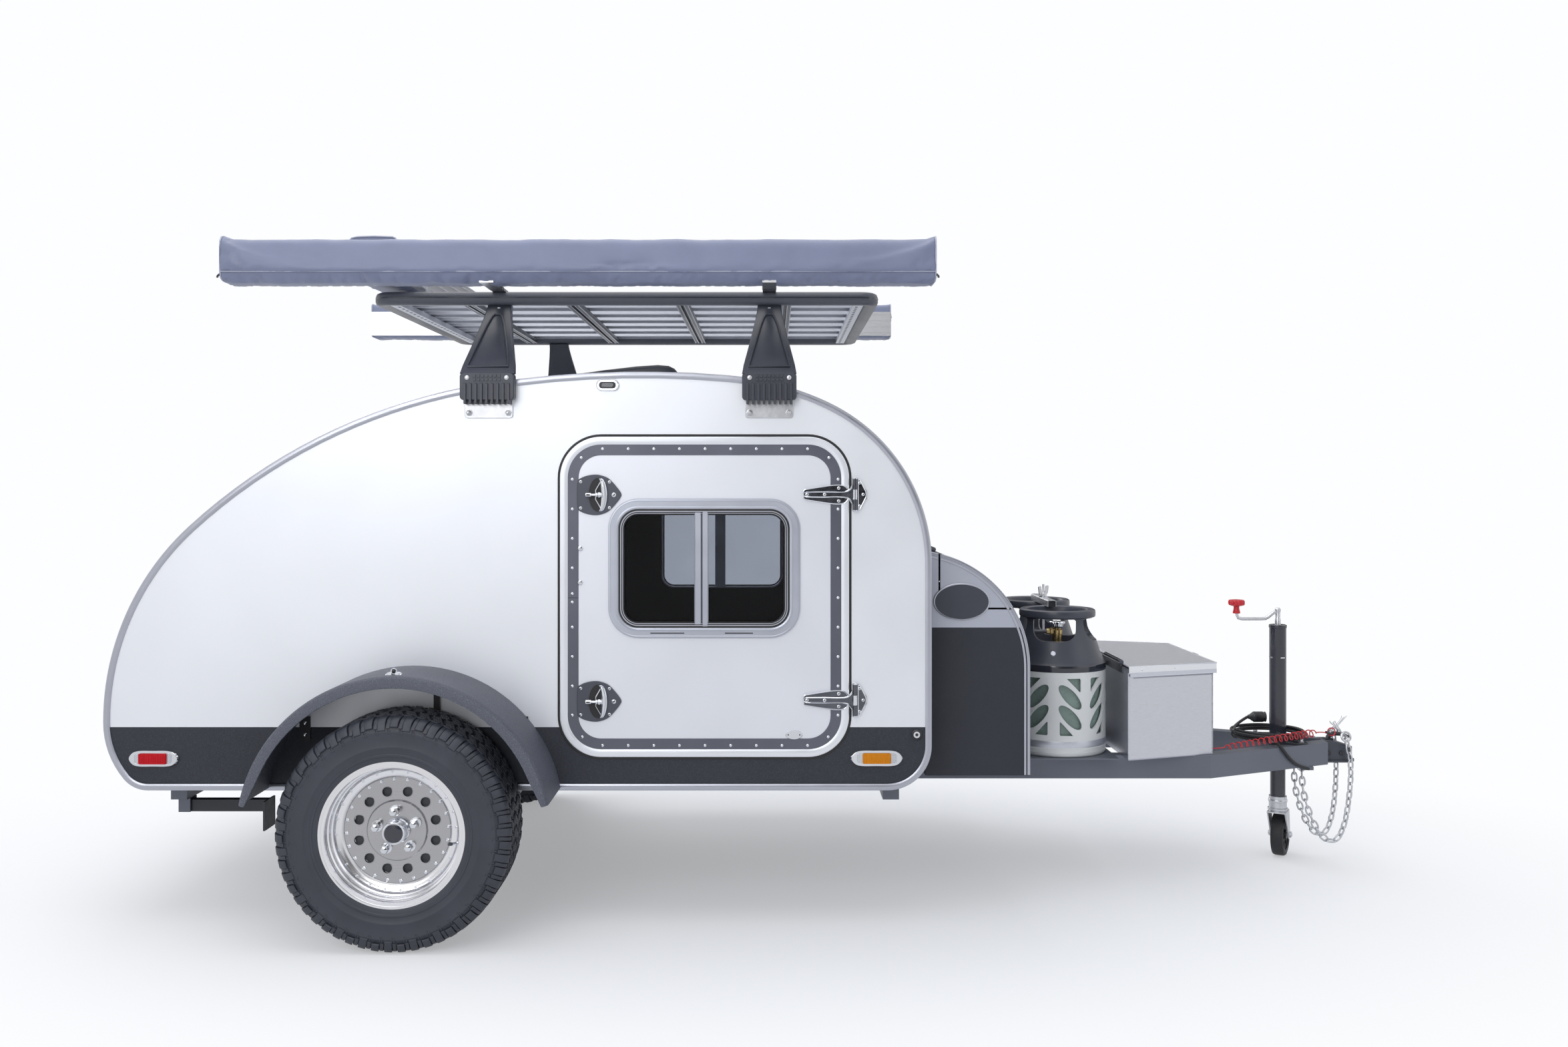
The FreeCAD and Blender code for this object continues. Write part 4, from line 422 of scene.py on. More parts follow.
def room():
    """White to the eye; gloss also finds the room's darker middle, which gives metal its contrast."""
    world = bpy.data.worlds.new("studio")
    bpy.context.scene.world = world
    world.use_nodes = True
    n = Graph(world.node_tree)

    def light(colour, strength):
        return n.add("Background", {"Color": colour, "Strength": strength}).outputs["Background"]

    def greys(source, *stops):
        return n.ramp(source, [(position, (level,) * 3) for position, level in stops])
    path, _ = ray_kinds(n)
    way = n.add("SeparateXYZ", {"Vector": n.coord.outputs["Generated"]}).outputs
    turn = n.math("MULTIPLY_ADD", way["X"], 0.5, 0.5)
    sides = greys(turn, (0.05, 1.0), (0.24, 0.5), (0.38, 1.0), (0.46, 0.30), (0.52, 0.05), (0.70, 0.05),
                  (0.84, 1.0))
    above = greys(way["Z"], (0.28, 0.0), (0.42, 1.0))
    high = greys(way["Z"], (0.50, 1.0), (0.60, 0.30), (0.72, 1.0))
    gloss = light(WHITE, n.mix(above, sides, high))
    shown = n.math("MAXIMUM", path["Is Camera Ray"], path["Is Transmission Ray"])
    lit = n.blend(path["Is Glossy Ray"], light(GLOW, 0.62), gloss)
    n.add("OutputWorld", {"Surface": n.blend(shown, lit, light(WHITE, 1.0))})


def stage():
    """Floor, room and lamps."""
    floor()
    room()
    for name, place, size, power in LAMPS:
        data = bpy.data.lights.new(name, "AREA")
        data.shape = "RECTANGLE"
        data.size, data.size_y = size
        data.energy = power
        lamp = new_object(name, data)
        lamp.location = spot(*place)
        aim = spot(700, 0, 700) - lamp.location
        lamp.rotation_euler = aim.to_track_quat("-Z", "Y").to_euler()


stage()

# ---------------------------------------------------------------- mesh tools


class Shape:
    """Mesh under construction, in millimetres; skin is the index of a face's material."""

    def __init__(self):
        self.points, self.faces, self.skins = [], [], []

    def add(self, solid, skin=0, place=None):
        points, faces = solid
        first = len(self.points)
        self.points += [place @ Vector(p) if place else Vector(p) for p in points]
        self.faces += [tuple(first + i for i in face) for face in faces]
        self.skins += [skin] * len(faces)
        return self


def solid_mesh(name, points, faces):
    """Mesh in the frame with its faces turned outward."""
    mesh = bpy.data.meshes.new(name)
    mesh.from_pydata([spot(*p) for p in points], [], faces)
    work = bmesh.new()
    work.from_mesh(mesh)
    bmesh.ops.recalc_face_normals(work, faces=work.faces)
    work.to_mesh(mesh)
    work.free()
    return mesh


def smooth_faces(mesh, angle):
    """Smooth shading, with edges sharper than angle (degrees) left sharp."""
    mesh.shade_smooth()
    mesh.set_sharp_from_angle(angle=math.radians(angle))


def settle(obj, body, replaces=()):
    """Says what an object rides on and stands for."""
    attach(obj, body)
    if replaces:
        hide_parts(*replaces)
    return obj


def piece(name, shape, body, skins, replaces=(), angle=35.0, bevel=0.0):
    """Object made from a shape; skins are its materials by skin number."""
    mesh = solid_mesh(name, shape.points, shape.faces)
    mesh.polygons.foreach_set("material_index", shape.skins)
    for key in skins:
        mesh.materials.append(M[key])
    smooth_faces(mesh, angle)
    obj = new_object(name, mesh)
    if bevel:
        rounding = obj.modifiers.new("edges", "BEVEL")
        rounding.width = bevel * MM
        rounding.segments = 1
        rounding.limit_method = "ANGLE"
        rounding.angle_limit = math.radians(40)
    return settle(obj, body, replaces)


def circle(n):
    """(cosine, sine) at n even angles."""
    return [(math.cos(a), math.sin(a)) for a in (2 * math.pi * i / n for i in range(n))]


def spin(axis, degrees):
    """Turn about a local axis."""
    return Matrix.Rotation(math.radians(degrees), 4, axis)


def at(x, y, z, turn=None):
    """Place at a point, turned first if a turn is given."""
    place = Matrix.Translation((x, y, z))
    return place @ turn if turn else place


def facing(side):
    """Turns local Z to the outside of one side wall, local X forward."""
    return spin("X", -90 * side)


def loft(loops, ring=False):
    """Skin over equal loops of points; the ends are closed unless the loops make a ring."""
    n, count = len(loops[0]), len(loops)
    faces = []
    for i in range(count if ring else count - 1):
        a, b = i * n, (i + 1) % count * n
        faces += [(a + j, a + (j + 1) % n, b + (j + 1) % n, b + j) for j in range(n)]
    if not ring:
        faces += [tuple(range(n))[::-1], tuple(range((count - 1) * n, count * n))]
    return [p for loop in loops for p in loop], faces


def lathe(profile, n, ring=False):
    """Turned shape about local Z; profile is (radius, height)."""
    return loft([[(r * c, r * s, h) for c, s in circle(n)] for r, h in profile], ring)


def block(x0, x1, y0, y1, z0, z1):
    """Box between the given planes."""
    return loft([[(x0, y0, z), (x1, y0, z), (x1, y1, z), (x0, y1, z)] for z in (z0, z1)])


def slab(outline, y0, y1, edge=0.0):
    """(x, z) outline made solid from y0 to y1, with its y1 rim pulled in by edge."""
    middle = Vector((sum(p[0] for p in outline), sum(p[1] for p in outline))) / len(outline)
    loops = [[(x, y0, z) for x, z in outline]]
    shrink = 1.0
    if edge:
        loops.append([(x, y1 - math.copysign(edge, y1 - y0), z) for x, z in outline])
        shrink -= edge / max((Vector(p) - middle).length for p in outline)
    loops.append([(middle.x + (x - middle.x) * shrink, y1, middle.y + (z - middle.y) * shrink)
                  for x, z in outline])
    return loft(loops)


def rounded(x0, x1, z0, z1, radius, n=8):
    """Rounded rectangle as (x, z, outward x, outward z)."""
    path = []
    for cx, cz, start in ((x1 - radius, z0 + radius, -90), (x1 - radius, z1 - radius, 0),
                          (x0 + radius, z1 - radius, 90), (x0 + radius, z0 + radius, 180)):
        for i in range(n + 1):
            a = math.radians(start + 90 * i / n)
            path.append((cx + radius * math.cos(a), cz + radius * math.sin(a), math.cos(a), math.sin(a)))
    return path


def flat(path):
    """The (x, z) points of a path, without its outward directions."""
    return [(x, z) for x, z, _, _ in path]


def oval(x, z, rx, rz, n=32):
    """Ellipse as (x, z, outward x, outward z)."""
    return [(x + rx * c, z + rz * s, c, s) for c, s in circle(n)]


def mirrored(half, tip=()):
    """Closed outline from its upper half, with any point of it on the middle line as its tip."""
    return half + list(tip) + [(x, -h) for x, h in half[::-1]]


def smooth_loop(points, n=4):
    """Closed curve through the given points."""
    out = []
    for i in range(len(points)):
        p0, p1, p2, p3 = (Vector(points[(i + k) % len(points)]) for k in (-1, 0, 1, 2))
        for j in range(n):
            t = j / n
            out.append(tuple(0.5 * ((2 * p1) + (p2 - p0) * t + (2 * p0 - 5 * p1 + 4 * p2 - p3) * t * t
                                    + (3 * p1 - p0 - 3 * p2 + p3) * t ** 3)))
    return out


def edge_run(path, section, side, base=0.0, ring=True):
    """Section of (inset, distance out from base) swept along a path in the XZ plane."""
    return loft([[(x - nx * d, side * (base + out), z - nz * d) for d, out in section]
                 for x, z, nx, nz in path], ring)


def tube(points, radius, sides=8, ring=False):
    """Round bar along points; radius is one number or one for each point."""
    points = [Vector(p) for p in points]
    count = len(points)
    radii = radius if isinstance(radius, list) else [radius] * count
    loops, side = [], None
    for i, p in enumerate(points):
        before = points[i - 1] if ring or i else p
        after = points[(i + 1) % count] if ring or i < count - 1 else p
        ahead = (after - before).normalized()
        if side is None:
            side = ahead.orthogonal()
        side = (side - ahead * side.dot(ahead)).normalized()
        other = ahead.cross(side)
        loops.append([p + (side * c + other * s) * radii[i] for c, s in circle(sides)])
    return loft(loops, ring)


def hoop(points, radius, sides=8):
    """Round bar bent to a closed ring through points."""
    return tube(points, radius, sides, ring=True)


def pad(shape, outline, side, y0, y1, edge=0.0, skin=0):
    """Flat piece with an (x, z) outline on one side wall, from y0 to y1 out."""
    shape.add(slab(outline, side * y0, side * y1, edge), skin)


def boss(shape, profile, n, x, z, side, out, skin=0):
    """Turned piece that stands out of one side wall."""
    shape.add(lathe(profile, n), skin, at(x, side * out, z, facing(side)))


def dome(radius, height):
    """Profile of a rivet's head."""
    return [(radius, 0), (radius * 0.95, height * 0.4), (radius * 0.7, height * 0.8),
            (radius * 0.25, height)]


def studs(shape, spots, side, out, radius, height, skin=0):
    """Rivet heads at (x, z) spots on one side wall."""
    for x, z in spots:
        boss(shape, dome(radius, height), 12, x, z, side, out, skin)


def screw(shape, x, z, side, out, radius, dark=2):
    """Pan head with a sunk cross, drawn as dark bars: painted shade in the recess."""
    studs(shape, [(x, z)], side, out, radius, radius * 0.45)
    for w, h in ((0.55, 0.12), (0.12, 0.55)):
        shape.add(block(x - radius * w, x + radius * w, side * out, side * (out + radius * 0.47),
                        z - radius * h, z + radius * h), dark)


# ---------------------------------------------------------------- outline of the body

ROOF_ARCS = [(530.0, 65.0), (880.0, 20.0), (2960.0, 14.0), (1680.0, 33.5), (780.0, 47.5)]
TAIL_ARCS = [(260.0, 40.0), (90.0, 50.0)]
BODY_FRONT_X, BODY_BOTTOM_Z, ROOF_START_Z = 1530.0, 406.0, 1070.0
FRONT_R = 130.0
WALL_Y = 762.0


def arc_path(x, z, heading, arcs, step=2.0):
    """Tangent arcs that turn left, as (x, z, outward x, outward z), and where they end."""
    path = []
    for radius, angle in arcs:
        cx, cz = x - radius * math.sin(heading), z + radius * math.cos(heading)
        n = max(2, round(angle / step))
        for i in range(n + 1):
            a = heading + math.radians(angle * i / n)
            path.append((cx + radius * math.sin(a), cz - radius * math.cos(a), math.sin(a), -math.cos(a)))
        x, z = path.pop()[:2]
        heading += math.radians(angle)
    return path, x, z, heading


def body_path():
    """Side wall's outline as (x, z, outward x, outward z), from the front over the roof and back."""
    roof, x, z, heading = arc_path(BODY_FRONT_X, ROOF_START_Z, math.pi / 2, ROOF_ARCS)
    (upper, angle), (lower, _) = TAIL_ARCS
    rise = math.sin(math.radians(angle))
    tail_z = BODY_BOTTOM_Z + upper * rise + lower * (1 - rise)
    tail, x, z, heading = arc_path(x, tail_z, heading, TAIL_ARCS, 5.0)
    front = arc_path(BODY_FRONT_X - FRONT_R, BODY_BOTTOM_Z, 0.0, [(FRONT_R, 90.0)], 6.0)[0]
    drop = (roof[-1][0] - 0.01, tail_z + 30, -1.0, 0.0)
    return roof + [drop] + tail + [(x, z, 0.0, -1.0)] + front + [(BODY_FRONT_X, 536.0, 1.0, 0.0)]


def body_trim():
    """Aluminium edge moulding round both side walls."""
    section = [(-2.2, 738), (-2.2, 763), (-1, 765.5), (3, 767), (9, 767.6), (14.5, 767), (17.5, 765),
               (17.5, 761.5), (0.8, 761.5), (0.8, 738)]
    shape = Shape()
    for _, side in SIDES:
        shape.add(edge_run(body_path(), section, side))
    piece("body_edge_trim", shape, "trailer", ["trim"])


# ---------------------------------------------------------------- doors

# Rounded rectangles: x0, x1, z0, z1, corner radius.
DOOR = (426.0, 1293.0, 497.0, 1456.0, 128.0)
WINDOW = (576.0, 1141.0, 856.0, 1266.0, 88.0)
DOOR_Y = WALL_Y + 3.0
LATCH_X, LATCH_ZS = 548.0, (1278.0, 668.0)
PIN_X, HINGE_ZS = 1304.0, (1279.0, 672.0)
SIDE_RIVET_ZS = (1324, 1236, 1149, 1062, 887, 800, 713, 627)
SCREW_X, SCREW_ZS = 492, (1120.0, 1019.0)           # hexagon heads between the latches
OVAL_X, OVAL_Z = 1124, 569                          # blank plate at the door's foot
BAR_SPANS = ((829.5, 850.5, 0), (852.0, 871.0, 6))  # window bars: x0, x1, how much longer
DRAIN_SPANS = ((700.0, 800.0), (920.0, 1003.0))     # slots in the window frame's foot


def door_rivets():
    """(x, z) of the rivets in the door's dark band."""
    spots = [(558 + 75.75 * i, z) for i in range(9) for z in (1414.0, 537.5)]
    spots += [(495, 1388), (1227, 1388), (498, 563), (1225, 563)]
    for x, middle in ((468.5, (986, 961)), (1254, (974,))):
        spots += [(x, z) for z in SIDE_RIVET_ZS[:4] + middle + SIDE_RIVET_ZS[4:]]
    return spots


def latch(shape, z, side):
    """Bow-shaped plate with a deep oval pocket, a crescent paddle over it and the lock's stem; the pocket and
    the key slot are near-black fills, painted shade.
    """
    half = [(-65, 18), (-63, 40), (-58, 47), (-38, 56), (-12, 60), (10, 56.5), (31, 46), (53, 22), (63, 8)]
    outline = smooth_loop(mirrored(half, [(66, 0)]))
    pad(shape, [(LATCH_X + x, z + h) for x, h in outline], side, DOOR_Y, DOOR_Y + 6, 2.0, 1)
    dish_x = LATCH_X - 2.0
    shape.add(edge_run(oval(dish_x, z, 30, 52, 40), [(0, 5), (0.6, 7.4), (2, 7.4), (3, 5)], side, DOOR_Y), 1)
    # Flat near-black oval at the pocket's floor: painted shade of its depth.
    pad(shape, flat(oval(dish_x, z, 28, 50)), side, DOOR_Y + 5, DOOR_Y + 6.3, skin=2)
    ridges = [(0.0, 6), (0.08, 13), (0.28, 15), (0.42, 12), (0.6, 11), (0.76, 14), (0.92, 12.5), (1.0, 6)]
    loops = []
    for i in range(-12, 13):
        a = math.radians(6.7 * i)
        near, reach, rise = 9 * math.cos(a), 9 + 10 * math.cos(a), math.cos(a) ** 0.5
        loops.append([(dish_x + near + reach * t, side * (DOOR_Y + 6 + (h - 6) * rise),
                       z + 49 * math.sin(a)) for t, h in ridges])
    shape.add(loft(loops))
    shape.add(tube([(dish_x + x, side * (DOOR_Y + 9), z + h)
                    for x, h in ((7, 38), (-7, 14), (-7, -14), (7, -38))], 1.9))
    stem = [(-39, 3), (-38, 7), (-22, 7), (-21, 4.2), (-7, 4.2), (-6.5, 7.5), (-3.5, 7.5), (-3, 5.5),
            (-1, 9.5), (5, 9.5), (6, 7), (9, 7), (10, 4)]
    shape.add(tube([(LATCH_X + x, side * (DOOR_Y + 12), z) for x, _ in stem], [r for _, r in stem], 16))
    # Key slot as a near-black block: painted shade.
    shape.add(block(LATCH_X - 36, LATCH_X - 25, side * (DOOR_Y + 17), side * (DOOR_Y + 19.3),
                    z - 2, z + 2), 2)
    for x, h, radius in ((-54, 39, 4.8), (-54, -39, 4.8), (31, 38, 4.8), (31, -38, 4.8), (44, 0, 7)):
        screw(shape, LATCH_X + x, z + h, side, DOOR_Y + 5.6, radius)


def strap(shape, z, side):
    """Strap of a door hinge: rimmed plate, a channelled spine that flares to the knuckle, screws."""
    half = [(-151, 9), (-149, 13.5), (-140, 16), (-100, 22.5), (-64, 27.5), (-40, 27.5), (-28, 23),
            (-20, 13), (-15, 11)]
    outline = smooth_loop([(PIN_X + x, z + h) for x, h in mirrored(half)], 3)
    # Skin 3, the hinge plate and the spine's channel, is the chrome with painted dark reflection.
    pad(shape, outline, side, DOOR_Y, DOOR_Y + 4.2, 1.0, 3)
    shape.add(hoop([(x, side * (DOOR_Y + 4.2), h) for x, h in outline], 1.7))
    spine = ((-150, 6, 4.6), (-145, 9, 8), (-128, 9.5, 9), (-90, 10, 9.5), (-52, 9, 10), (-32, 10, 11),
             (-22, 13, 12), (-15, 20, 13), (-9, 30, 13.5))        # x, half width, height

    def ribbed(rows, skin):
        """Lofts the right half of a cross section, as (share of width, height), along the spine."""
        shape.add(loft([[(PIN_X + x, side * (DOOR_Y + out), z + w * u)
                         for u, out in [(-u, out) for u, out in rows(h)] + rows(h)[::-1]]
                        for x, w, h in spine]), skin)
    ribbed(lambda h: [(1, 3), (0.97, h - 1.5), (0.82, h), (0.62, h - 0.8), (0.5, h * 0.66)], 0)
    ribbed(lambda h: [(0.58, h * 0.66 - 1), (0.55, h * 0.66 + 0.7)], 3)
    for x, h, out in ((-142, 0, 5.6), (-90, 0, 6.6), (-48, 19, 4), (-48, -19, 4)):
        screw(shape, PIN_X + x, z + h, side, DOOR_Y + out, 5.2)
    shape.add(lathe([(6.0, -15.0), (7.0, -14.5), (7.0, 14.5), (6.0, 15.0)], 24), 0,
              at(PIN_X, side * (DOOR_Y + 7), z))


def hinge_plates():
    """Raised rims, pin ends and screws on the door hinges' wall plates."""
    shape = Shape()
    rim = mirrored([(9.5, 44.5), (14, 43.5), (31.5, 9)], [(33, 0)])
    for _, side in SIDES:
        for z in HINGE_ZS:
            shape.add(hoop([(PIN_X + x, side * (DOOR_Y + 4.2), z + h) for x, h in rim], 1.6))
            for h in (-1, 1):
                shape.add(lathe([(7.4, 0), (7.4, 2.5), (5, 4.5), (1, 5)], 20), 0,
                          at(PIN_X, side * (DOOR_Y + 7), z + 46 * h, spin("X", 90 - 90 * h)))
                screw(shape, PIN_X + 13.5, z + 34 * h, side, DOOR_Y + 4, 4.6, 1)
            screw(shape, PIN_X + 24, z, side, DOOR_Y + 4, 4.8, 1)
    piece("hinge_plate_detail", shape, "trailer", ["chrome", "gasket"])


def doors():
    """Gaskets, bright rims, riveted bands, latches, hinges and windows of both doors."""
    rim = rounded(*DOOR, 14)
    for name, side in SIDES:
        body = "door_" + name
        seal = Shape().add(edge_run(rim, [(-1.5, 761), (-1, 763.6), (1.5, 764.4), (4.5, 763.8), (5, 760),
                                          (2, 757)], side))
        piece("door_gasket_" + name, seal, "trailer", ["gasket"])
        trim = Shape().add(edge_run(rim, [(6.5, -1), (6.7, 2.2), (8.2, 3.4), (18, 3.9), (27.5, 3.4),
                                          (29.2, 2.2), (30, -1)], side, DOOR_Y))
        piece("door_trim_" + name, trim, body, ["door_rim"])
        band = Shape().add(edge_run(rim, [(29, -1), (29, 1.6), (60.3, 1.6), (61, 0.8), (61, -1)],
                                    side, DOOR_Y))
        studs(band, door_rivets(), side, DOOR_Y + 1.4, 4.4, 2.4, 1)
        band.add(block(455, 487, side * DOOR_Y, side * (DOOR_Y + 1.75), 973.2, 974.6), 2)
        piece("door_band_" + name, band, body, ["band", "chrome", "gasket"])

        ware = Shape()
        for z in LATCH_ZS:
            latch(ware, z, side)
        for z in HINGE_ZS:
            strap(ware, z, side)
        for z in SCREW_ZS:
            boss(ware, [(9, 0), (9, 2), (6.5, 5), (6.5, 6), (3, 6.6)], 6, SCREW_X, z, side, DOOR_Y)
        pad(ware, flat(oval(OVAL_X, OVAL_Z, 24.5, 13.5)), side, DOOR_Y, DOOR_Y + 3, 1.0)
        studs(ware, [(OVAL_X - 17, OVAL_Z), (OVAL_X + 17, OVAL_Z)], side, DOOR_Y + 2.8, 2.2, 1.0, 2)
        piece("door_hardware_detail_" + name, ware, body,
              ["chrome", "plate", "gasket", "chrome_painted_dark"], ["door_hardware_" + name])
        window(name, side, body)


def window(name, side, body):
    """Beads and gaskets on the window's frame, and its two middle bars."""
    face = DOOR_Y + 7.0
    z0, z1 = WINDOW[2:4]
    edge = rounded(*WINDOW, 12)
    shape = Shape()
    for section, skin in (
            ([(-1.2, -7), (-0.6, -2), (1.5, 0.8), (5, 1.2), (7, -0.5), (7, -7)], 0),
            ([(20, -1), (21, 2), (25, 3.6), (29, 2.6), (30, -1)], 0),
            ([(30, -1), (30.2, 0.8), (35, 0.8), (35, -1)], 2),
            ([(35, -1), (35.2, 1.8), (38.2, 1.8), (38.4, -1)], 1),
            ([(38, -1), (38.4, 0.6), (46, -1), (48, -14), (42, -14)], 2)):
        shape.add(edge_run(edge, section, side, face), skin)
    for a, b, grow in BAR_SPANS:
        section = [(a, -12), (a, -2), (a + 3, 1), (b - 3, 1), (b, -2), (b, -12)]
        shape.add(loft([[(x, side * (face + y), z) for x, y in section]
                        for z in (z0 + 40 - grow, z1 - 40 + grow / 2)]))
    shape.add(block(850.3, 852.2, side * (face - 12), side * (face - 1), z0 + 42, z1 - 42), 2)
    # The drain slots are near-black blocks: painted shade.
    for a, b in DRAIN_SPANS:
        shape.add(block(a, b, side * (face - 1), side * (face + 0.5), z0 + 12.5, z0 + 15.5), 2)
    piece("window_beads_" + name, shape, body, ["frame_satin", "trim", "gasket"])


# ---------------------------------------------------------------- wheels and fenders

PITCHES = 54            # tread blocks round the tyre
RIVETS, HOLES, NUTS = 24, 12, 5
HOLE_R, HOLE_RING_R, NUT_RING_R = 14.4, 112, 57.15


def tyre_carcass():
    """(radius, offset) outline of the carcass, with the raised rings of its side wall."""
    return mirrored([(196, 98), (200, 106), (208.5, 108.5), (214, 110), (219, 111), (221, 113.2),
                     (226, 113.6), (228, 112), (243, 113.2), (245, 114.4), (248, 114.4), (250, 113.6),
                     (266, 114.6), (284, 113.6), (286, 114.4), (290, 114.2), (292, 112.4), (302, 108.6),
                     (312, 102), (318, 92), (320.5, 60)])


def tread_blocks(shape):
    """Close-set rows of blocks, and stepped shoulder blocks that wrap on to the side walls."""
    rng = random.Random(7)
    step = 2 * math.pi / PITCHES

    def wedge(section, start, end, skew, drop=1.2):
        """Block between two angles; its tread lies lower by drop at both ends."""
        loops = []
        for share, low in ((0.0, drop), (0.08, 0.0), (0.92, 0.0), (1.0, drop)):
            row = [(r - low * (r > 300), start + (end - start) * share + skew * y, y) for r, y in section]
            loops.append([(r * math.cos(a), r * math.sin(a), y) for r, a, y in row])
        shape.add(loft(loops))
    rows = ((-16, 16, 0.80, 0.0020), (20, 45, 0.84, -0.0020), (-45, -20, 0.84, -0.0020),
            (49, 74, 0.82, 0.0015), (-74, -49, 0.82, 0.0015))     # y0, y1, share of the pitch, skew
    for row, (y0, y1, share, skew) in enumerate(rows):
        shift, mid = 0.5 * (row % 2) + 0.23 * row, (y0 + y1) / 2
        for i in range(PITCHES):
            a = (i + shift) * step
            wide = share * step * rng.uniform(0.94, 1.06)
            for y2, y3, start, end in ((y0, mid - 1, 0, 0.9), (mid + 1, y1, 0.12, 1)):
                wedge([(318, y2), (331, y2 + 1), (331.6, y3 - 1), (318, y3)], a + wide * start,
                      a + wide * end, skew)
    for sign in (1, -1):
        for i in range(PITCHES):
            a = (i + 0.4 * (sign > 0)) * step
            low = 292 if i % 2 else 302
            lug = [(316, 77), (331, 78), (330, 92), (325.5, 102.5), (317, 109.2), (low + 3, 114.4),
                   (low, 112), (312, 96)]
            step_lug = [(316, 77), (329, 78), (327, 92), (321, 101.5), (311, 108.6), (300, 113), (298, 110),
                        (310, 94)]
            for section, start, end in ((lug, 0, 0.58), (step_lug, 0.63, 0.93)):
                wedge([(r, sign * y) for r, y in section], a + start * step, a + end * step, sign * 0.0006)
            for k in (0.16, 0.34):      # short raised dashes under each shoulder block
                dash = ((278, 113.4), (292, 112.6), (291, 114.4), (279, 115))
                wedge([(r + 16 * k, sign * y) for r, y in dash], a + k * step, a + (k + 0.08) * step, 0, 0)


def rim_shape(side):
    """Stepped rim with a riveted, pierced disc, lug nuts, a cap and the valve."""
    shape = Shape()
    shape.add(lathe([(208.3, 99), (208.6, 104), (206.5, 107.4), (202, 108.2), (198, 107), (195.5, 102),
                     (192, 100), (189.5, 97), (187.5, 92), (186.5, 84), (182.5, 81), (181, 77), (180, 68),
                     (176, 65), (174, 61), (171, 55), (165, 52.5), (159, 51.5), (155, 48.5), (151.5, 46.5),
                     (150, 44.2), (150, 42), (190, 42), (190.5, 90), (196, 99)], 96, ring=True))
    for i in range(RIVETS):
        a = 2 * math.pi * (i + 0.25) / RIVETS
        for r, h, n, head in ((144, 44, 12, [(5.4, 0), (5.4, 1.2), (3.6, 3.0), (1.2, 3.4)]),
                              (168, 53.2, 10, [(3.4, 0), (3.4, 1.4), (2.2, 2.4), (0.8, 2.6)])):
            shape.add(lathe(head, n), 1, at(r * math.cos(a), r * math.sin(a), h))
    for i in range(HOLES):     # rolled edges of the round holes
        a = math.radians(75 + 360 / HOLES * i)
        x, y = HOLE_RING_R * math.cos(a), HOLE_RING_R * math.sin(a)
        shape.add(hoop([(x + HOLE_R * c, y + HOLE_R * s, 44) for c, s in circle(24)], 1.3, 6))
    for i in range(NUTS):
        a = math.radians((95 if side < 0 else 85) + 360 / NUTS * i)
        place = at(NUT_RING_R * math.cos(a), NUT_RING_R * math.sin(a), 0)
        shape.add(lathe([(13, 50), (13, 53), (11.4, 54), (11.4, 75), (10, 78.5), (6, 80.5), (2, 81)], 6),
                  1, place)
        shape.add(lathe([(15.5, 49.5), (15.5, 51.5), (13, 52)], 24), 1, place)
    shape.add(lathe([(36, 50), (33, 53), (32, 58), (32, 84), (31.5, 86.4), (29.5, 87.6), (27, 87.2),
                     (26.4, 85)], 48), 1)
    shape.add(lathe([(27, 85.6), (25, 86.6), (13, 87.6), (3, 88)], 48), 2)
    for h in (57.5, 61.0, 80.0):      # rings turned into the cap's side
        shape.add(hoop([(32 * c, 32 * s, h) for c, s in circle(48)], 0.9, 6), 1)
    lean = math.radians(-10 if side < 0 else 190)
    valve = [(r * math.cos(lean), r * math.sin(lean), h) for r, h in ((176, 62), (172, 74), (166, 86))]
    shape.add(tube(valve, [4.5, 3.8, 4.2], 10), 1)
    x, y, h = valve[-1]
    shape.add(tube([(x, y, h), (x * 0.95, y * 0.95, h + 7)], 5, 10), 2)     # its cap
    return shape


def wheels():
    """Tyres, rims and fenders."""
    for name, side in SIDES:
        tyre = Shape().add(lathe(tyre_carcass(), 108, ring=True))
        tread_blocks(tyre)
        rim = rim_shape(side)
        place = at(0, side * WHEEL_Y, WHEEL_Z, facing(side))
        for shape in (tyre, rim):
            shape.points = [place @ p for p in shape.points]
        piece("tyre_detail_" + name, tyre, "wheel_" + name, ["tyre"], ["tyre_" + name])
        piece("rim_detail_" + name, rim, "wheel_" + name,
              ["rim", "chrome", "gloss_black"], angle=30)
        fender(name, side)


FENDER_R, FENDER_OUT = 441, WALL_Y + 238.0
FENDER_START, FENDER_SWEEP = 10.5, 159.0        # degrees
STAY_X, STAY_R = 322.0, 434.0


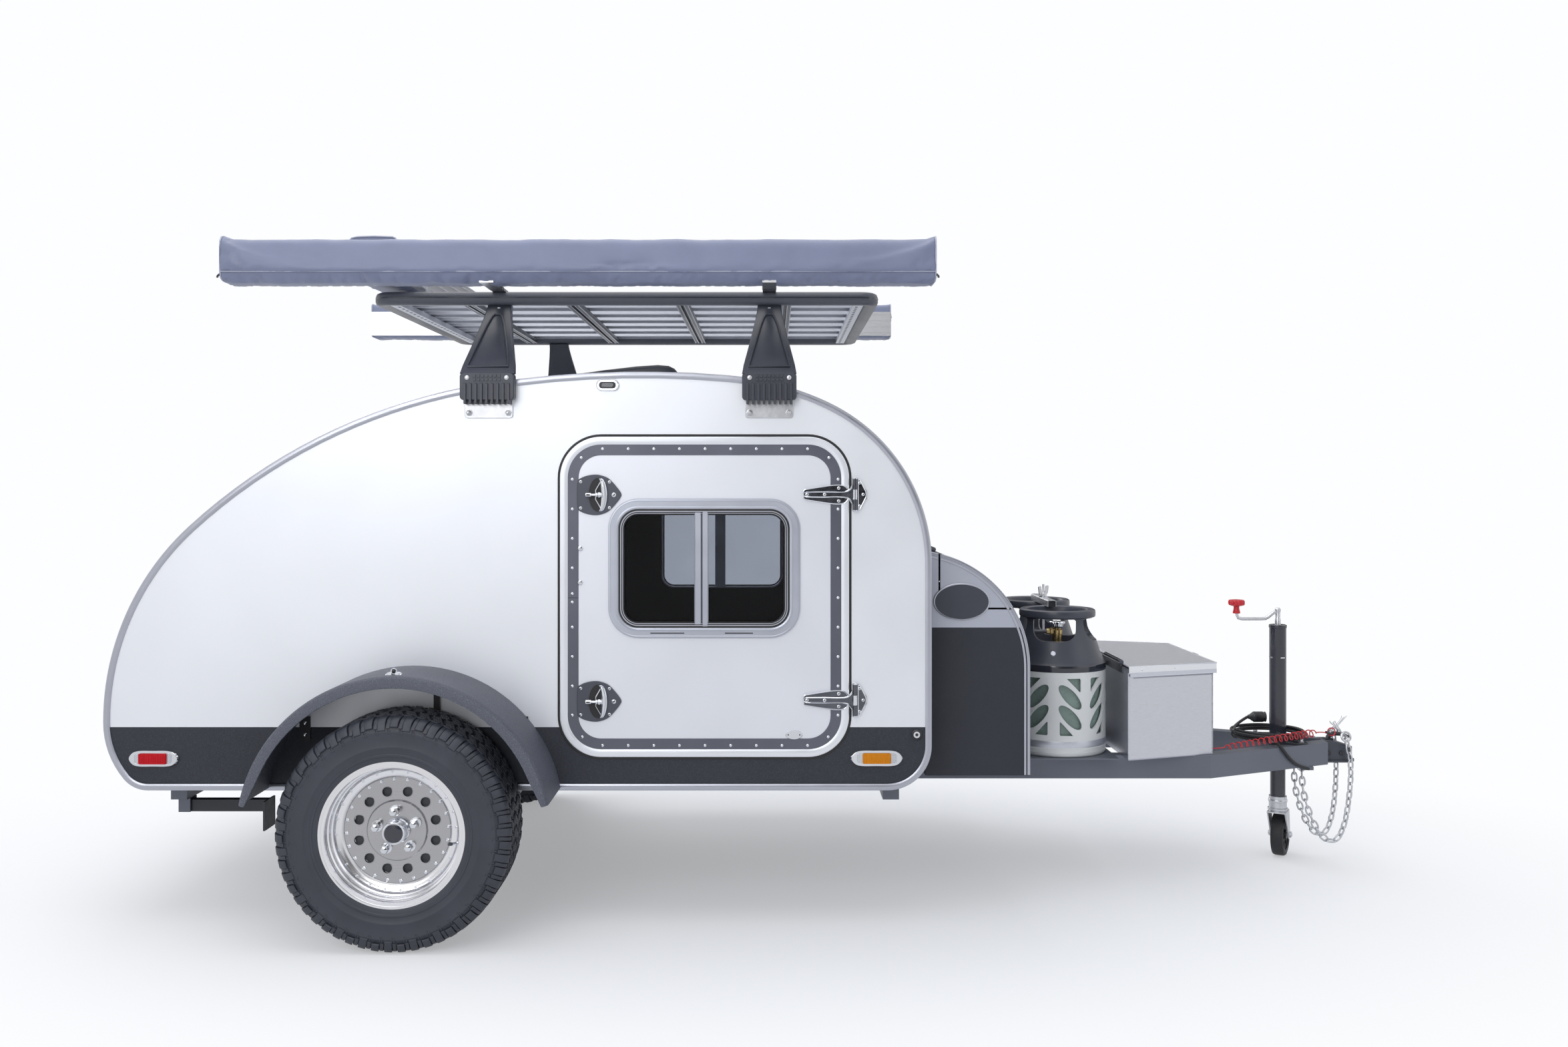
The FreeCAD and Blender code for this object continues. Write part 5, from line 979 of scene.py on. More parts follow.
def fender(name, side):
    """Arched fender with a rolled lip that narrows towards the tips, stays and an eyelet on top."""
    shape = Shape()
    loops = []
    n = 48
    for i in range(n + 1):
        t = i / n
        a = math.radians(FENDER_START + FENDER_SWEEP * t)
        end = min(1.0, min(t, 1 - t) * n / 4)
        lip = FENDER_R - (20 + 14 * math.sin(end * math.pi / 2))
        section = [(FENDER_R, WALL_Y - FENDER_OUT), (FENDER_R, -20), (439.6, -10), (435.5, -3), (429, -0.3),
                   (lip + 5, 0), (lip + 1, -1), (lip, -5), (lip + 2, -9), (lip + 6, -8), (428, -7),
                   (433, -10), (436, -20), (436.5, WALL_Y - FENDER_OUT)]
        loops.append([(r * math.cos(a), side * (FENDER_OUT + y), WHEEL_Z + r * math.sin(a))
                      for r, y in section])
    shape.add(loft(loops))
    for x in (-STAY_X, STAY_X):   # stays under the fender, screwed to the wall
        top = WHEEL_Z + math.sqrt(STAY_R ** 2 - x ** 2)
        shape.add(block(x - 16, x + 16, side * WALL_Y, side * (WALL_Y + 4), top - 70, top), 1)
        studs(shape, [(x, top - 18), (x, top - 52)], side, WALL_Y + 4, 6, 3, 2)
    shape.add(block(60, 78, side * WALL_Y, side * (WALL_Y + 10), WHEEL_Z + 300, WHEEL_Z + 430), 1)
    x, y, z = -8, side * (WALL_Y + 190), WHEEL_Z + 440.5
    for u in (-1, 1):       # eyelet on two feet
        shape.add(loft([[(x + u * dx, y + dy, z - 2 + dz) for dy, dz in ((-8, 0), (8, 0), (7, h), (-7, h))]
                        for dx, h in ((5, 8), (12, 9), (19, 7), (22, 3))]), 2)
    shape.add(hoop([(x + 7 * c, y, z + 9 + 7 * s) for c, s in circle(20)], 2.6), 2)
    shape.add(lathe([(5, -3), (5, 3), (3, 4)], 16), 1, at(x, y, z + 9, spin("X", 90)))
    piece("fender_detail_" + name, shape, "trailer",
          ["fender", "black_plastic", "chrome"], ["fender_" + name])


# ---------------------------------------------------------------- lamps and small fittings

# Marker lamps: middle x and z, length, height.
AMBER = (1368.5, 500.0, 157.0, 47.0)
RED = (-769.0, 499.0, 150.0, 48.0)
LENS_RIBS, RIB_PITCH = 12, 6.9
REAR_LAMP_Y, REAR_LAMP_TOP, REAR_LAMP_BOTTOM = 560.0, 548.5, 478.5
PORT = (1487, 569)


def plate(shape, corners, radius, n, side, y0, y1, edge, skin=0):
    """Rounded rectangle on one side wall; corners are x0, x1, z0, z1."""
    pad(shape, flat(rounded(*corners, radius, n)), side, y0, y1, edge, skin)


def marker(shape, lamp, side, lens):
    """Long marker lamp: pointed chrome bezel, clear ends and a ribbed lens in the middle."""
    x, z, length, height = lamp
    a, b = length / 2, height / 2
    half = [(12 - a, b * 0.75), (34 - a, b), (0, b), (a - 34, b), (a - 12, b * 0.75)]
    bezel = smooth_loop([(x + u, z + v) for u, v in [(-a, 0)] + mirrored(half, [(a, 0)])])
    pad(shape, bezel, side, WALL_Y, WALL_Y + 9, 4.0)
    plate(shape, (x - a + 20, x + a - 20, z - b + 9, z + b - 9), 8, 6, side, WALL_Y + 8, WALL_Y + 13, 2.0, 2)
    plate(shape, (x - 42, x + 42, z - b + 8, z + b - 8), 5, 5, side, WALL_Y + 8, WALL_Y + 16, 2.5, lens)
    y = side * (WALL_Y + 15.6)
    for i in range(LENS_RIBS):
        rib = x - 38 + i * RIB_PITCH
        shape.add(tube([(rib, y, z - b + 11), (rib, y, z + b - 11)], 1.6, 6), lens)


def rear_face(top, bottom):
    """Points of the tail between two heights, top to bottom."""
    path = [p for p in body_path() if p[0] < -700 and p[1] < 700]
    dense = [tuple(a[k] + (b[k] - a[k]) * (i / 6) for k in range(4))
             for a, b in zip(path, path[1:]) for i in range(6)]
    return [p for p in dense if bottom <= p[1] <= top]


def lamps():
    """Marker lamps on both sides, amber ahead and red behind, and the red lamps on the tail."""
    amber, red = Shape(), Shape()
    for _, side in SIDES:
        marker(amber, AMBER, side, 1)
        marker(red, RED, side, 1)
    rear = rear_face(REAR_LAMP_TOP, REAR_LAMP_BOTTOM)
    for _, side in SIDES:
        middle = side * REAR_LAMP_Y
        for half, out, skin in ((80.0, 18, 0), (72.0, 21, 1)):
            red.add(loft([[(x + nx * out, y, z + nz * out) for x, z, nx, nz in rear]
                          + [(x - nx, y, z - nz) for x, z, nx, nz in rear[::-1]]
                          for y in (middle - half, middle + half)]), skin)
    for node, shape in (("lamps_amber", amber), ("lamps_red", red)):
        lens = node[6:] + "_lens"
        piece(node + "_detail", shape, "trailer", ["chrome", lens, "clear_lens"], [node], bevel=0.4)


def small_fittings():
    """Porch lights over the doors, and the round ports low on the side walls."""
    shape = Shape()
    for _, side in SIDES:
        plate(shape, (539.5, 606.5, 1586, 1618), 15.5, 6, side, WALL_Y, WALL_Y + 9, 3.0)
        plate(shape, (548, 598, 1592, 1612), 9, 5, side, WALL_Y + 8, WALL_Y + 12.5, 2.0, 1)
        plate(shape, (556, 590, 1596, 1608), 5, 4, side, WALL_Y + 12, WALL_Y + 13.5, 0.8, 2)
        boss(shape, [(15.5, 0), (15.5, 4), (12, 7), (11, 5), (5, 5), (4, 7), (2, 7.2)], 28, *PORT, side,
             WALL_Y, 1)
        boss(shape, [(9.6, 4.6), (9.6, 5.4), (6, 5.6)], 24, *PORT, side, WALL_Y)
    piece("porch_lights_ports", shape, "trailer", ["chrome", "black_plastic", "clear_lens"])


NOSE_R, NOSE_X, NOSE_ARC_Z, NOSE_Y = 360.0, 1490.0, 745.0, 610.0
BADGE_X, BADGE_Z = 1641, 949


def nose_path(start, end, n):
    """Points on the nose box's arc between two angles, as (x, z, outward x, outward z)."""
    return [(NOSE_X + NOSE_R * math.cos(a), NOSE_ARC_Z + NOSE_R * math.sin(a), math.cos(a), math.sin(a))
            for a in (math.radians(start + (end - start) * i / n) for i in range(n + 1))]


def nose_trim():
    """Double bead along the curved edges of the nose box and its lid, and the blank oval plates."""
    rails = [[(-1.5, -14), (-1.5, 1), (0, 3), (4, 3.6), (7, 2), (8, -0.5), (0.5, -0.5), (0.5, -14)],
             [(10, -0.5), (11, 2), (14, 3), (17, 2), (18, -0.5)]]
    box, lid = Shape(), Shape()
    down = [(NOSE_X + NOSE_R, z, 1.0, 0.0) for z in (418.0, 600.0)]
    for _, side in SIDES:
        for rail in rails:
            for shape, path in ((box, down + nose_path(0, 30.9, 16)), (box, nose_path(77.2, 83.5, 4)),
                                (lid, nose_path(31.5, 75.6, 24))):
                shape.add(edge_run(path, rail, side, NOSE_Y, ring=False))
        lid.add(edge_run(oval(BADGE_X, BADGE_Z, 87, 57.5, 48),
                         [(0, 0.4), (0, 3.5), (1.5, 4.5), (4.5, 4), (6, 0.4)], side, NOSE_Y))
        pad(lid, flat(oval(BADGE_X, BADGE_Z, 84, 54.5, 48)), side, NOSE_Y + 0.4, NOSE_Y + 3, skin=1)
    piece("nose_box_trim", box, "trailer", ["trim"])
    piece("nose_lid_trim", lid, "nose_box_lid", ["trim", "collar"])


# ---------------------------------------------------------------- gas bottles

BOTTLE_X, BOTTLE_Y, BOTTLE_Z = 2019.0, 200.0, 420.0
BOTTLE_TOP = BOTTLE_Z + 285.0
COLLAR_TURN = 17.0      # degrees the collar openings stand off the trailer's axes


def cut(obj, cutter, name):
    """Cuts the cutter's closed shapes out of obj and bakes the result in."""
    tool = new_object(name, solid_mesh(name, cutter.points, cutter.faces))
    holes = obj.modifiers.new("holes", "BOOLEAN")
    holes.operation = "DIFFERENCE"
    holes.solver = "EXACT"
    holes.object = tool
    bpy.context.view_layer.update()
    done = bpy.data.meshes.new_from_object(obj.evaluated_get(bpy.context.evaluated_depsgraph_get()))
    obj.modifiers.clear()
    obj.data = done
    smooth_faces(done, 35)
    bpy.data.objects.remove(tool)


def leaf_cutters(x, y):
    """Columns of two leaf holes that lean left and right in turn, with a triangle over and under."""
    cutter = Shape()
    triangles = ([(-12, 257), (31, 257), (35, 253), (35, 214), (32, 212)],
                 [(9, 71), (-31, 71), (-35, 75), (-35, 114), (-32, 116)])
    for i in range(8):
        place = at(x, y, BOTTLE_Z, spin("Z", 4.0 + 39.5 * (i - 4) + (180 if y > 0 else 0)))
        lean = -1 if i % 2 else 1
        tilt = math.radians(43) * lean
        leaf = [(20.5 * c * math.cos(tilt) - 52 * s * math.sin(tilt),
                 20.5 * c * math.sin(tilt) + 52 * s * math.cos(tilt)) for c, s in circle(24)]
        holes = [[(u, v + rise) for u, v in leaf] for rise in (196, 130)]
        for hole in holes + [[(lean * u, v) for u, v in corners] for corners in triangles]:
            cutter.add(slab(hole, -175, -140), 0, place)
    return cutter


def bottles():
    """Pierced casings round dark cores, and collars with four openings."""
    core, collars, openings = Shape(), Shape(), Shape()
    corners = ((-33, 123, 36, 180), (33, 123, 36, 270), (61, 152, 8, 0), (-61, 152, 8, 90))
    opening = [(u + r * math.cos(a), BOTTLE_TOP + v + r * math.sin(a)) for u, v, r, first in corners
               for a in (math.radians(first + 15 * k) for k in range(7))]
    for name, side in SIDES:
        x, y = BOTTLE_X, side * BOTTLE_Y
        foot, top = at(x, y, BOTTLE_Z), at(x, y, BOTTLE_TOP)
        sleeve = Shape().add(lathe([(151, 0), (154, 0.5), (157.6, 4), (158.9, 9), (158.9, 281), (158, 285),
                                    (151, 285)], 96, ring=True), 0, foot)
        for z in (14, 28):
            sleeve.add(hoop([(158.6 * c, 158.6 * s, z) for c, s in circle(64)], 1.3, 6), 0, foot)
        casing = piece("bottle_casing_" + name, sleeve, "trailer", ["casing"],
                       ["gas_bottles"] if side < 0 else [])
        cut(casing, leaf_cutters(x, y), "leaf_cutter_" + name)
        core.add(lathe([(10, 2), (146, 2), (147, 8), (147, 284), (10, 284)], 64), 0, foot)
        core.add(lathe([(159.2, 276), (160, 278), (160, 296), (159.2, 298), (156, 298), (156, 276)], 96,
                       ring=True), 1, foot)
        core.add(lathe([(158.8, 30), (159.3, 31), (159.3, 52), (158.8, 53), (157, 53), (157, 30)], 64,
                       ring=True), 2, foot)
        collars.add(lathe([(148, -1), (158.5, 0), (158.8, 12), (156.5, 15), (153, 22), (149, 31), (141, 50),
                           (132, 76), (123, 104), (117, 126), (114.5, 146), (114.5, 157), (117, 161),
                           (123, 162.5), (125.5, 165), (126, 170), (126, 180), (124.5, 185), (120, 188),
                           (108, 188), (102, 185), (99, 178), (98, 160), (98, 66), (96, 65), (20, 65),
                           (2, 65), (2, -1)], 72, ring=True), 0, top)
        for quarter in range(4):   # plugs on the shoulder, under the openings
            core.add(lathe([(8.5, -3), (8.5, 2), (7, 3.4), (2, 3.8)], 20), 2,
                     top @ spin("Z", COLLAR_TURN * side + 90 * quarter) @ at(140, 0, 51, spin("Y", 70)))
        for turn in (0, 90):
            for y0, y1 in ((-170, -60), (60, 170)):
                openings.add(slab(opening, y0, y1), 0, at(x, y, 0, spin("Z", COLLAR_TURN * side + turn)))
    piece("bottle_cores", core, "trailer", ["core", "gloss_black", "slat"])
    rings = piece("bottle_collar_rings", collars, "trailer", ["collar"], ["bottle_collars"])
    cut(rings, openings, "window_cutter")


def gas_fittings():
    """Valves with lobed handwheels, clamp rod and bar with wing nut, and the regulator."""
    shape = Shape()
    angles = [2 * math.pi * k / 96 for k in range(96)]
    wheel = [(r * math.cos(a), r * math.sin(a)) for a, r in ((a, 24 + 3.4 * math.cos(8 * a)) for a in angles)]
    well = BOTTLE_TOP + 65.0
    for _, side in SIDES:
        place = at(BOTTLE_X, side * BOTTLE_Y, well)
        shape.add(lathe([(20, 0), (20, 10), (16, 12), (16, 34), (18, 36), (18, 50), (12, 54), (9, 62)], 24),
                  0, place)
        shape.add(loft([[(u * f, v * f, h) for u, v in wheel] for f, h in
                        ((0.62, 58), (0.66, 60), (0.66, 70), (1, 72), (1, 77), (0.9, 79), (0.3, 78))]),
                  1, place)
        shape.add(lathe([(10, 0), (10, 12), (12.5, 12), (12.5, 24), (9.5, 26), (9.5, 36)], 6), 0,
                  place @ at(0, 0, 45, spin("Y", -90)))
    rod_x, bar_z = BOTTLE_X - 7.0, BOTTLE_TOP + 188.0
    thread = [(4.5 if i % 2 else 3.9, 300 + i * 1.2) for i in range(200)]
    shape.add(lathe([(4.5, 0), (4.5, 299)] + thread, 12), 2, at(rod_x, 0, BOTTLE_Z))
    channel = [(-15, 0), (-15, 19), (-12, 22), (12, 22), (15, 19), (15, 0), (12.4, 0), (12.4, 18),
               (10, 19.6), (-10, 19.6), (-12.4, 18), (-12.4, 0)]
    shape.add(loft([[(rod_x + u, y, bar_z + v) for u, v in channel] for y in (-150, 150)]), 2)
    for _, side in SIDES:
        shape.add(block(rod_x - 12.2, rod_x + 12.2, side * 92, side * 146, bar_z, bar_z + 17), 3)
    shape.add(lathe([(15, 0), (15, 3), (10, 4), (9, 12), (6, 15)], 24), 2, at(rod_x, 0, bar_z + 22))
    wing = [(5, 4), (14, 2), (24, 12), (28, 34), (24, 37), (14, 36), (10, 20), (5, 12)]
    for _, side in SIDES:
        shape.add(slab([(side * u, v) for u, v in wing], -1.6, 1.6, 0.8), 2,
                  at(rod_x, 0, bar_z + 24, spin("Z", 40)))
    nose, middle = NOSE_X + NOSE_R, 720.0
    shape.add(slab(flat(rounded(nose, nose + 36, middle - 20, middle + 20, 6, 4)), -50, 50, 2), 4)
    shape.add(lathe([(27, 0), (27, 5), (22, 9), (20, 15), (6, 17)], 28), 5, at(nose + 18, 0, middle + 18))
    for _, side in SIDES:
        boss(shape, [(10, 0), (10, 5), (8, 6), (8, 10)], 6, nose + 18, middle, side, 48)
    piece("gas_fittings_detail", shape, "trailer",
          ["brass", "chrome", "zinc", "black_plastic", "aluminium", "collar"], ["gas_fittings"])


# ---------------------------------------------------------------- cords

HOSE_ROUTE = [(1985, -200, 815), (1932, -200, 815), (1890, -180, 800), (1870, -150, 766),
              (1868, -112, 720), (1868, -50.3, 720)]
CHAIN_ROUTE = [(2905, -36, 327.7), (2906, -36, 272), (2914, -38, 218), (2930, -40, 166),
               (2949, -42, 122), (2969, -44, 90), (2994, -47, 70), (3020, -50, 74), (3038, -53, 104),
               (3051, -56, 150), (3059, -58, 206), (3064, -61, 264), (3066, -63, 322), (3062, -62, 378),
               (3052, -54.5, 428)]
LINK_PITCH, LINK_TWIST, LINK_WIRE = 0.0262, 0.3, 3.2       # metres, radians, millimetres
BREAKAWAY_ROUTE = [(2520, -262, 433), (2536, -262, 433), (2552, -258, 433), (2750, -191, 450),
                   (2930, -107, 458), (2953, -94, 458), (2976, -78, 453), (2998, -62, 445)]
WIRING_ROUTE = [(2900, -113, 334), (2858, -133.2, 346), (2820, -151.5, 376), (2792, -166, 410),
                (2768, -163, 438), (2753, -139, 452)]
RING_X, RING_Z, RING_R = 2802.0, 439.3, 119.0
COIL_POINTS, PER_TURN = 53, 16                  # a little over three turns
COIL_LIFT = [-9.0, -3.5, 4.5, 10.5, 6.0]        # off RING_Z where each turn begins
COIL_REACH = [6.0, -8.5, 9.0, -4.5, 2.0]        # off RING_R where each turn begins
PLUG_Z = 474.2


def nurbs_curve(name, points, resolution):
    """Open NURBS line from its first control point to its last, in metres."""
    curve = bpy.data.curves.new(name, "CURVE")
    curve.dimensions = "3D"
    curve.resolution_u = resolution
    line = curve.splines.new("NURBS")
    line.points.add(len(points) - 1)
    for knot, p in zip(line.points, points):
        knot.co = (*p, 1.0)
    line.order_u = 3
    line.use_endpoint_u = True
    return curve


def nurbs(name, points, radius, key, replaces):
    """One smooth round cord."""
    curve = nurbs_curve(name, points, 8)
    curve.bevel_depth = radius * MM
    curve.bevel_resolution = 3
    curve.use_fill_caps = True
    curve.materials.append(M[key])
    return settle(new_object(name, curve), "trailer", replaces)


def line_of(points):
    """Points read from the NURBS line over a route, in metres."""
    curve = nurbs_curve("route", points, 16)
    obj = bpy.data.objects.new("route", curve)
    mesh = bpy.data.meshes.new_from_object(obj)
    found = [v.co.copy() for v in mesh.vertices]
    bpy.data.objects.remove(obj)
    bpy.data.curves.remove(curve)
    bpy.data.meshes.remove(mesh)
    return found


def run_length(points):
    """Length of a line through points."""
    return sum((b - a).length for a, b in zip(points, points[1:]))


def along(points, spacing):
    """Evenly spaced (point, direction) along a line, spacing in metres."""
    total, found, gone, want = run_length(points), [], 0.0, 0.0
    for a, b in zip(points, points[1:]):
        reach = (b - a).length
        while reach and want <= gone + reach and want <= total:
            found.append((a.lerp(b, (want - gone) / reach), (b - a).normalized()))
            want += spacing
        gone += reach
    return found


def route(points, side=-1):
    """Route in the frame; it is written for the right side."""
    return [spot(x, -side * y, z) for x, y, z in points]


def in_mm(p):
    """Point of the frame in millimetres, the way back from spot."""
    return (p.x - AXLE_X) / MM, p.y / MM, p.z / MM


def hoses():
    """Gas hoses from the bottles' valves to the regulator."""
    for name, side in SIDES:
        points = route(HOSE_ROUTE, side)
        hose = nurbs("gas_hose_" + name, points, 6.5, "hose", ["gas_hoses"])
        run_length(line_of(points))


def wiring():
    """Seven-core lead: up from the frame, wound in a loose coil round the jack, plug on top."""
    rng = random.Random(11)
    points = route(WIRING_ROUTE)
    start = math.atan2(-119, -49)       # behind the jack, on its right
    for i in range(COIL_POINTS):
        t = i / PER_TURN
        k = min(int(t), len(COIL_LIFT) - 2)
        f = t - k
        ease = f * f * (3 - 2 * f)
        lift, reach = (row[k] + (row[k + 1] - row[k]) * ease for row in (COIL_LIFT, COIL_REACH))
        r = RING_R + reach + rng.uniform(-0.8, 0.8)
        a = start - 2 * math.pi * t
        points.append(spot(RING_X + r * math.cos(a), r * math.sin(a), RING_Z + lift))
    for degrees, up in ((133, 13.5), (121, 22.5), (111, 31.0)):     # up into the plug's tail
        a = math.radians(degrees)
        points.append(spot(RING_X + RING_R * math.cos(a), (RING_R + 1) * math.sin(a), RING_Z + up))
    points += [spot(RING_X - back, RING_R, PLUG_Z) for back in (32, 22)]
    cable = nurbs("wiring_cable", points, 5.0, "rubber", ["wiring_lead", "wiring_coil"])
    place = at(RING_X, RING_R, PLUG_Z)
    plug = Shape().add(lathe([(7, -31), (9, -24), (14, -18), (18.2, -10), (18.8, -4), (18.8, 22), (17, 25),
                              (17, 29), (18.4, 29.5), (18.4, 31), (14, 31), (13.5, 24), (2, 24)], 28), 0,
                       place @ spin("Y", 90))
    for i in range(10):     # grip ribs
        plug.add(block(-12, 20, -1.2, 1.2, 18.2, 19.0), 0, place @ spin("X", 36 * i))
    plug_obj = piece("wiring_plug_detail", plug, "trailer", ["black_plastic"],
                     ["wiring_plug"], bevel=0.3)
    run_length(line_of(points))
    ties = Shape()
    for a in (3.3, 5.2):
        ring = [(RING_R + 18.5 * c, RING_Z + 16.5 * s) for c, s in circle(28)]
        ties.add(hoop([(RING_X + r * math.cos(a), r * math.sin(a), z) for r, z in ring], 1.8, 6))
    piece("wiring_ties", ties, "trailer", ["black_plastic"])


def breakaway():
    """Curly red cable: the helix winds round the NURBS line of its route."""
    base = line_of(route(BREAKAWAY_ROUTE))
    total = run_length(base)
    marks, turns, steps = 800, 17, 17 * 14
    first, last = 0.045, total - 0.085      # where the helix begins and ends, in metres
    spots = along(base, total / marks)
    points = [base[0], base[0].lerp(base[3], 0.5), spots[int(marks * 0.028 / total)][0]]
    for i in range(steps + 1):
        t = i / steps
        p, d = spots[min(len(spots) - 1, int(marks * (first + (last - first) * t) / total))]
        side = Vector((0, 0, 1)).cross(d).normalized()
        up = d.cross(side)
        a = 2 * math.pi * turns * t
        r = (9.5 + 3.6 * t) * MM * min(1.0, i / 10, (steps - i) / 10)
        points.append(p + (side * math.sin(a) - up * math.cos(a)) * r)
    points += [p for p, _ in spots[int(marks * (last + 0.02) / total)::60]] + [base[-1]]
    cable = nurbs("breakaway_curly_cable", points, 1.9, "red", ["breakaway_cable"])
    clip = Shape()
    clip.add(hoop([(2999 + 13 * c, -60 + 2 * s, 452 + 13 * s) for c, s in circle(28)], 2.0))
    clip.add(tube([(2972, -80.5, 454), (2996, -63, 446)], 4.5, 12), 1)
    clip = piece("breakaway_clip", clip, "trailer", ["red", "black_plastic"])
    run_length(line_of(points))


def chain_links():
    """Two safety chains of welded links, hooked at the coupler."""
    shape = Shape()
    for _, side in SIDES:
        for i, (p, d) in enumerate(along(line_of(route(CHAIN_ROUTE, side)), LINK_PITCH)):
            across = Vector((0, 1, 0))
            across = (across - d * across.dot(d)).normalized()
            wide = across if i % 2 else d.cross(across)
            wide = (wide * math.cos(LINK_TWIST) + d.cross(wide) * math.sin(LINK_TWIST)).normalized()
            loop = []
            for c, s in circle(20):
                u = 16.2 * c + math.copysign(3.0, c) * (abs(c) > 0.3)
                loop.append(in_mm(p + d * (u * 0.86) * MM + wide * 8.6 * s * MM))
            shape.add(hoop(loop, LINK_WIRE))
    piece("safety_chain_links", shape, "trailer", ["zinc"], ["safety_chains"], angle=60)


# ---------------------------------------------------------------- tongue: box, jack, caster, coupler

BOX_X0, BOX_X1, BOX_REAR, BOX_FRONT, BOX_Z0, BOX_Z1 = 2212.0, 2520.0, 380.0, 270.0, 416.0, 712.0
LID_Z0, LID_Z1, LID_GROW = 696.0, 721.0, 10.0


def box_details():
    """Weld beads along the tongue box's edges, and rolled edges, rivets and a latch on its lid."""
    shape, lid = Shape(), Shape()
    rng = random.Random(3)

    def weld(a, b, normal, count):
        a, b, normal = Vector(a), Vector(b), Vector(normal).normalized()
        for i in range(count):
            p = a.lerp(b, (i + 0.5) / count) + normal * rng.uniform(-0.2, 0.3)
            shape.add(lathe([(2.3 + rng.uniform(-0.3, 0.3), -0.6), (2.0, 0.9), (0.6, 1.6)], 8), 0,
                      at(*p, normal.to_track_quat("Z", "Y").to_matrix().to_4x4()))
    for _, side in SIDES:
        front, rear = (BOX_X1, side * BOX_FRONT), (BOX_X0, side * BOX_REAR)
        weld((*front, BOX_Z0 + 4), (*front, BOX_Z1 - 14), (1, side * 0.5, 0), 70)
        weld((*rear, BOX_Z0 + 4), (*rear, BOX_Z1 - 14), (-0.6, side, 0), 70)
        weld((*rear, BOX_Z0 + 1), (*front, BOX_Z0 + 1), (0.2, side, -0.4), 78)
        for t in (0.12, 0.5, 0.88):
            y = BOX_REAR + 10 - (BOX_REAR - BOX_FRONT) * t
            boss(lid, dome(3.2, 1.8), 10, BOX_X0 + 10 + (BOX_X1 - BOX_X0) * t, 708, side, y - 3)
    weld((BOX_X1, -BOX_FRONT, BOX_Z0 + 1), (BOX_X1, BOX_FRONT, BOX_Z0 + 1), (1, 0, -0.4), 120)

    def three_sides(rear, front, z):
        """Line along the right, front and left sides, from its (x, y) at two corners."""
        return [(x, -y, z) for x, y in (rear, front)] + [(x, y, z) for x, y in (front, rear)]

    def rim(off, z, back=0.0):
        """The lid's edge, grown by off."""
        return three_sides((BOX_X0 + back, BOX_REAR + LID_GROW + off),
                           (BOX_X1 + LID_GROW + off, BOX_FRONT + LID_GROW + off), z)
    rows = [rim(off, LID_Z0 + up, 4) for off, up in ((0.2, 4), (0.3, -8), (-0.4, -9), (-1.6, -8), (-1.6, 4))]
    lid.add(loft([[row[i] for row in rows] for i in range(4)]), 2)
    lid.add(tube(rim(-0.4, LID_Z0 - 8, 4), 1.7), 2)
    lid.add(hoop(rim(-0.6, LID_Z1 - 1.6), 2.4), 2)
    shape.add(tube(three_sides((BOX_X0 + 20, BOX_REAR - 7), (BOX_X1 + 0.5, BOX_FRONT + 0.5), LID_Z0 - 15),
                   2.0))
    lid.add(slab(flat(rounded(-22, 22, 664, 706, 6, 4)), 0, 6, 1.5), 1, at(2548.3, 0, 0, spin("Z", -90)))
    lid.add(lathe([(9, 0), (9, 3), (7, 4), (4, 4.4)], 24), 1, at(2554.5, 0, 688, spin("Y", 90)))
    piece("tongue_box_welds", shape, "trailer", ["trim"])
    piece("tongue_box_latch", lid, "tongue_box_lid", ["chrome", "zinc", "slat"])


JACK_X = 2835.0


def jack_parts():
    """Crank with its red knob, the cap's rim, marks round the tube and the bolts at its foot."""
    shape = Shape()
    crank = [(0, 840), (0, 856), (-6, 862), (-14, 860), (-32, 846), (-44, 839), (-60, 838), (-126, 838),
             (-138, 841), (-143, 850), (-145, 866)]
    shape.add(tube([(JACK_X + x, 0, z) for x, z in crank], [6] * 9 + [5.5, 5], 14))
    shape.add(lathe([(10, 0), (10, 20), (8.5, 24), (8.5, 46), (10, 47), (10, 56), (7, 60)], 24), 0,
              at(JACK_X, 0, 816))
    shape.add(tube([(JACK_X, -12, 848), (JACK_X, 12, 848)], 2.2))
    knob = at(JACK_X - 145, 0, 0)
    shape.add(lathe([(12, 857), (13, 860), (10, 872), (9.5, 880), (13, 885)], 24), 1, knob)
    disc = [(1 + 0.07 * math.cos(12 * a), a) for a in (2 * math.pi * k / 96 for k in range(96))]
    shape.add(loft([[(r * f * math.cos(a), r * f * math.sin(a), h) for f, a in disc]
                    for r, h in ((14, 883), (24, 886), (26.5, 890), (26.5, 900), (24, 904), (12, 905.5))]),
              1, knob)
    piece("jack_crank_detail", shape, "trailer", ["zinc", "red"], ["jack_crank"])

    cap = Shape()
    cap.add(lathe([(28, 806), (30, 807), (30.6, 812), (30, 816.5), (26, 818), (9, 818)], 40), 0,
            at(JACK_X, 0, 0))
    for a, wide in ((-2.2, 4), (-1.15, 5), (0.24, 8), (2.4, 8)):    # short marks round the tube
        cap.add(block(-wide, wide, -0.5, 1.0, -2.2, 2.2), 1,
                at(JACK_X, 0, 704, spin("Z", math.degrees(a)) @ at(0, -28.8, 0)))
    for x in (-48, 48):
        for y in (-88, 88):
            cap.add(lathe([(11, 0), (11, 2), (8, 2.2), (8, 9), (6, 10.5)], 6), 1, at(JACK_X + x, y, 422))
    piece("jack_cap_bolts", cap, "trailer", ["gloss_black", "zinc"])


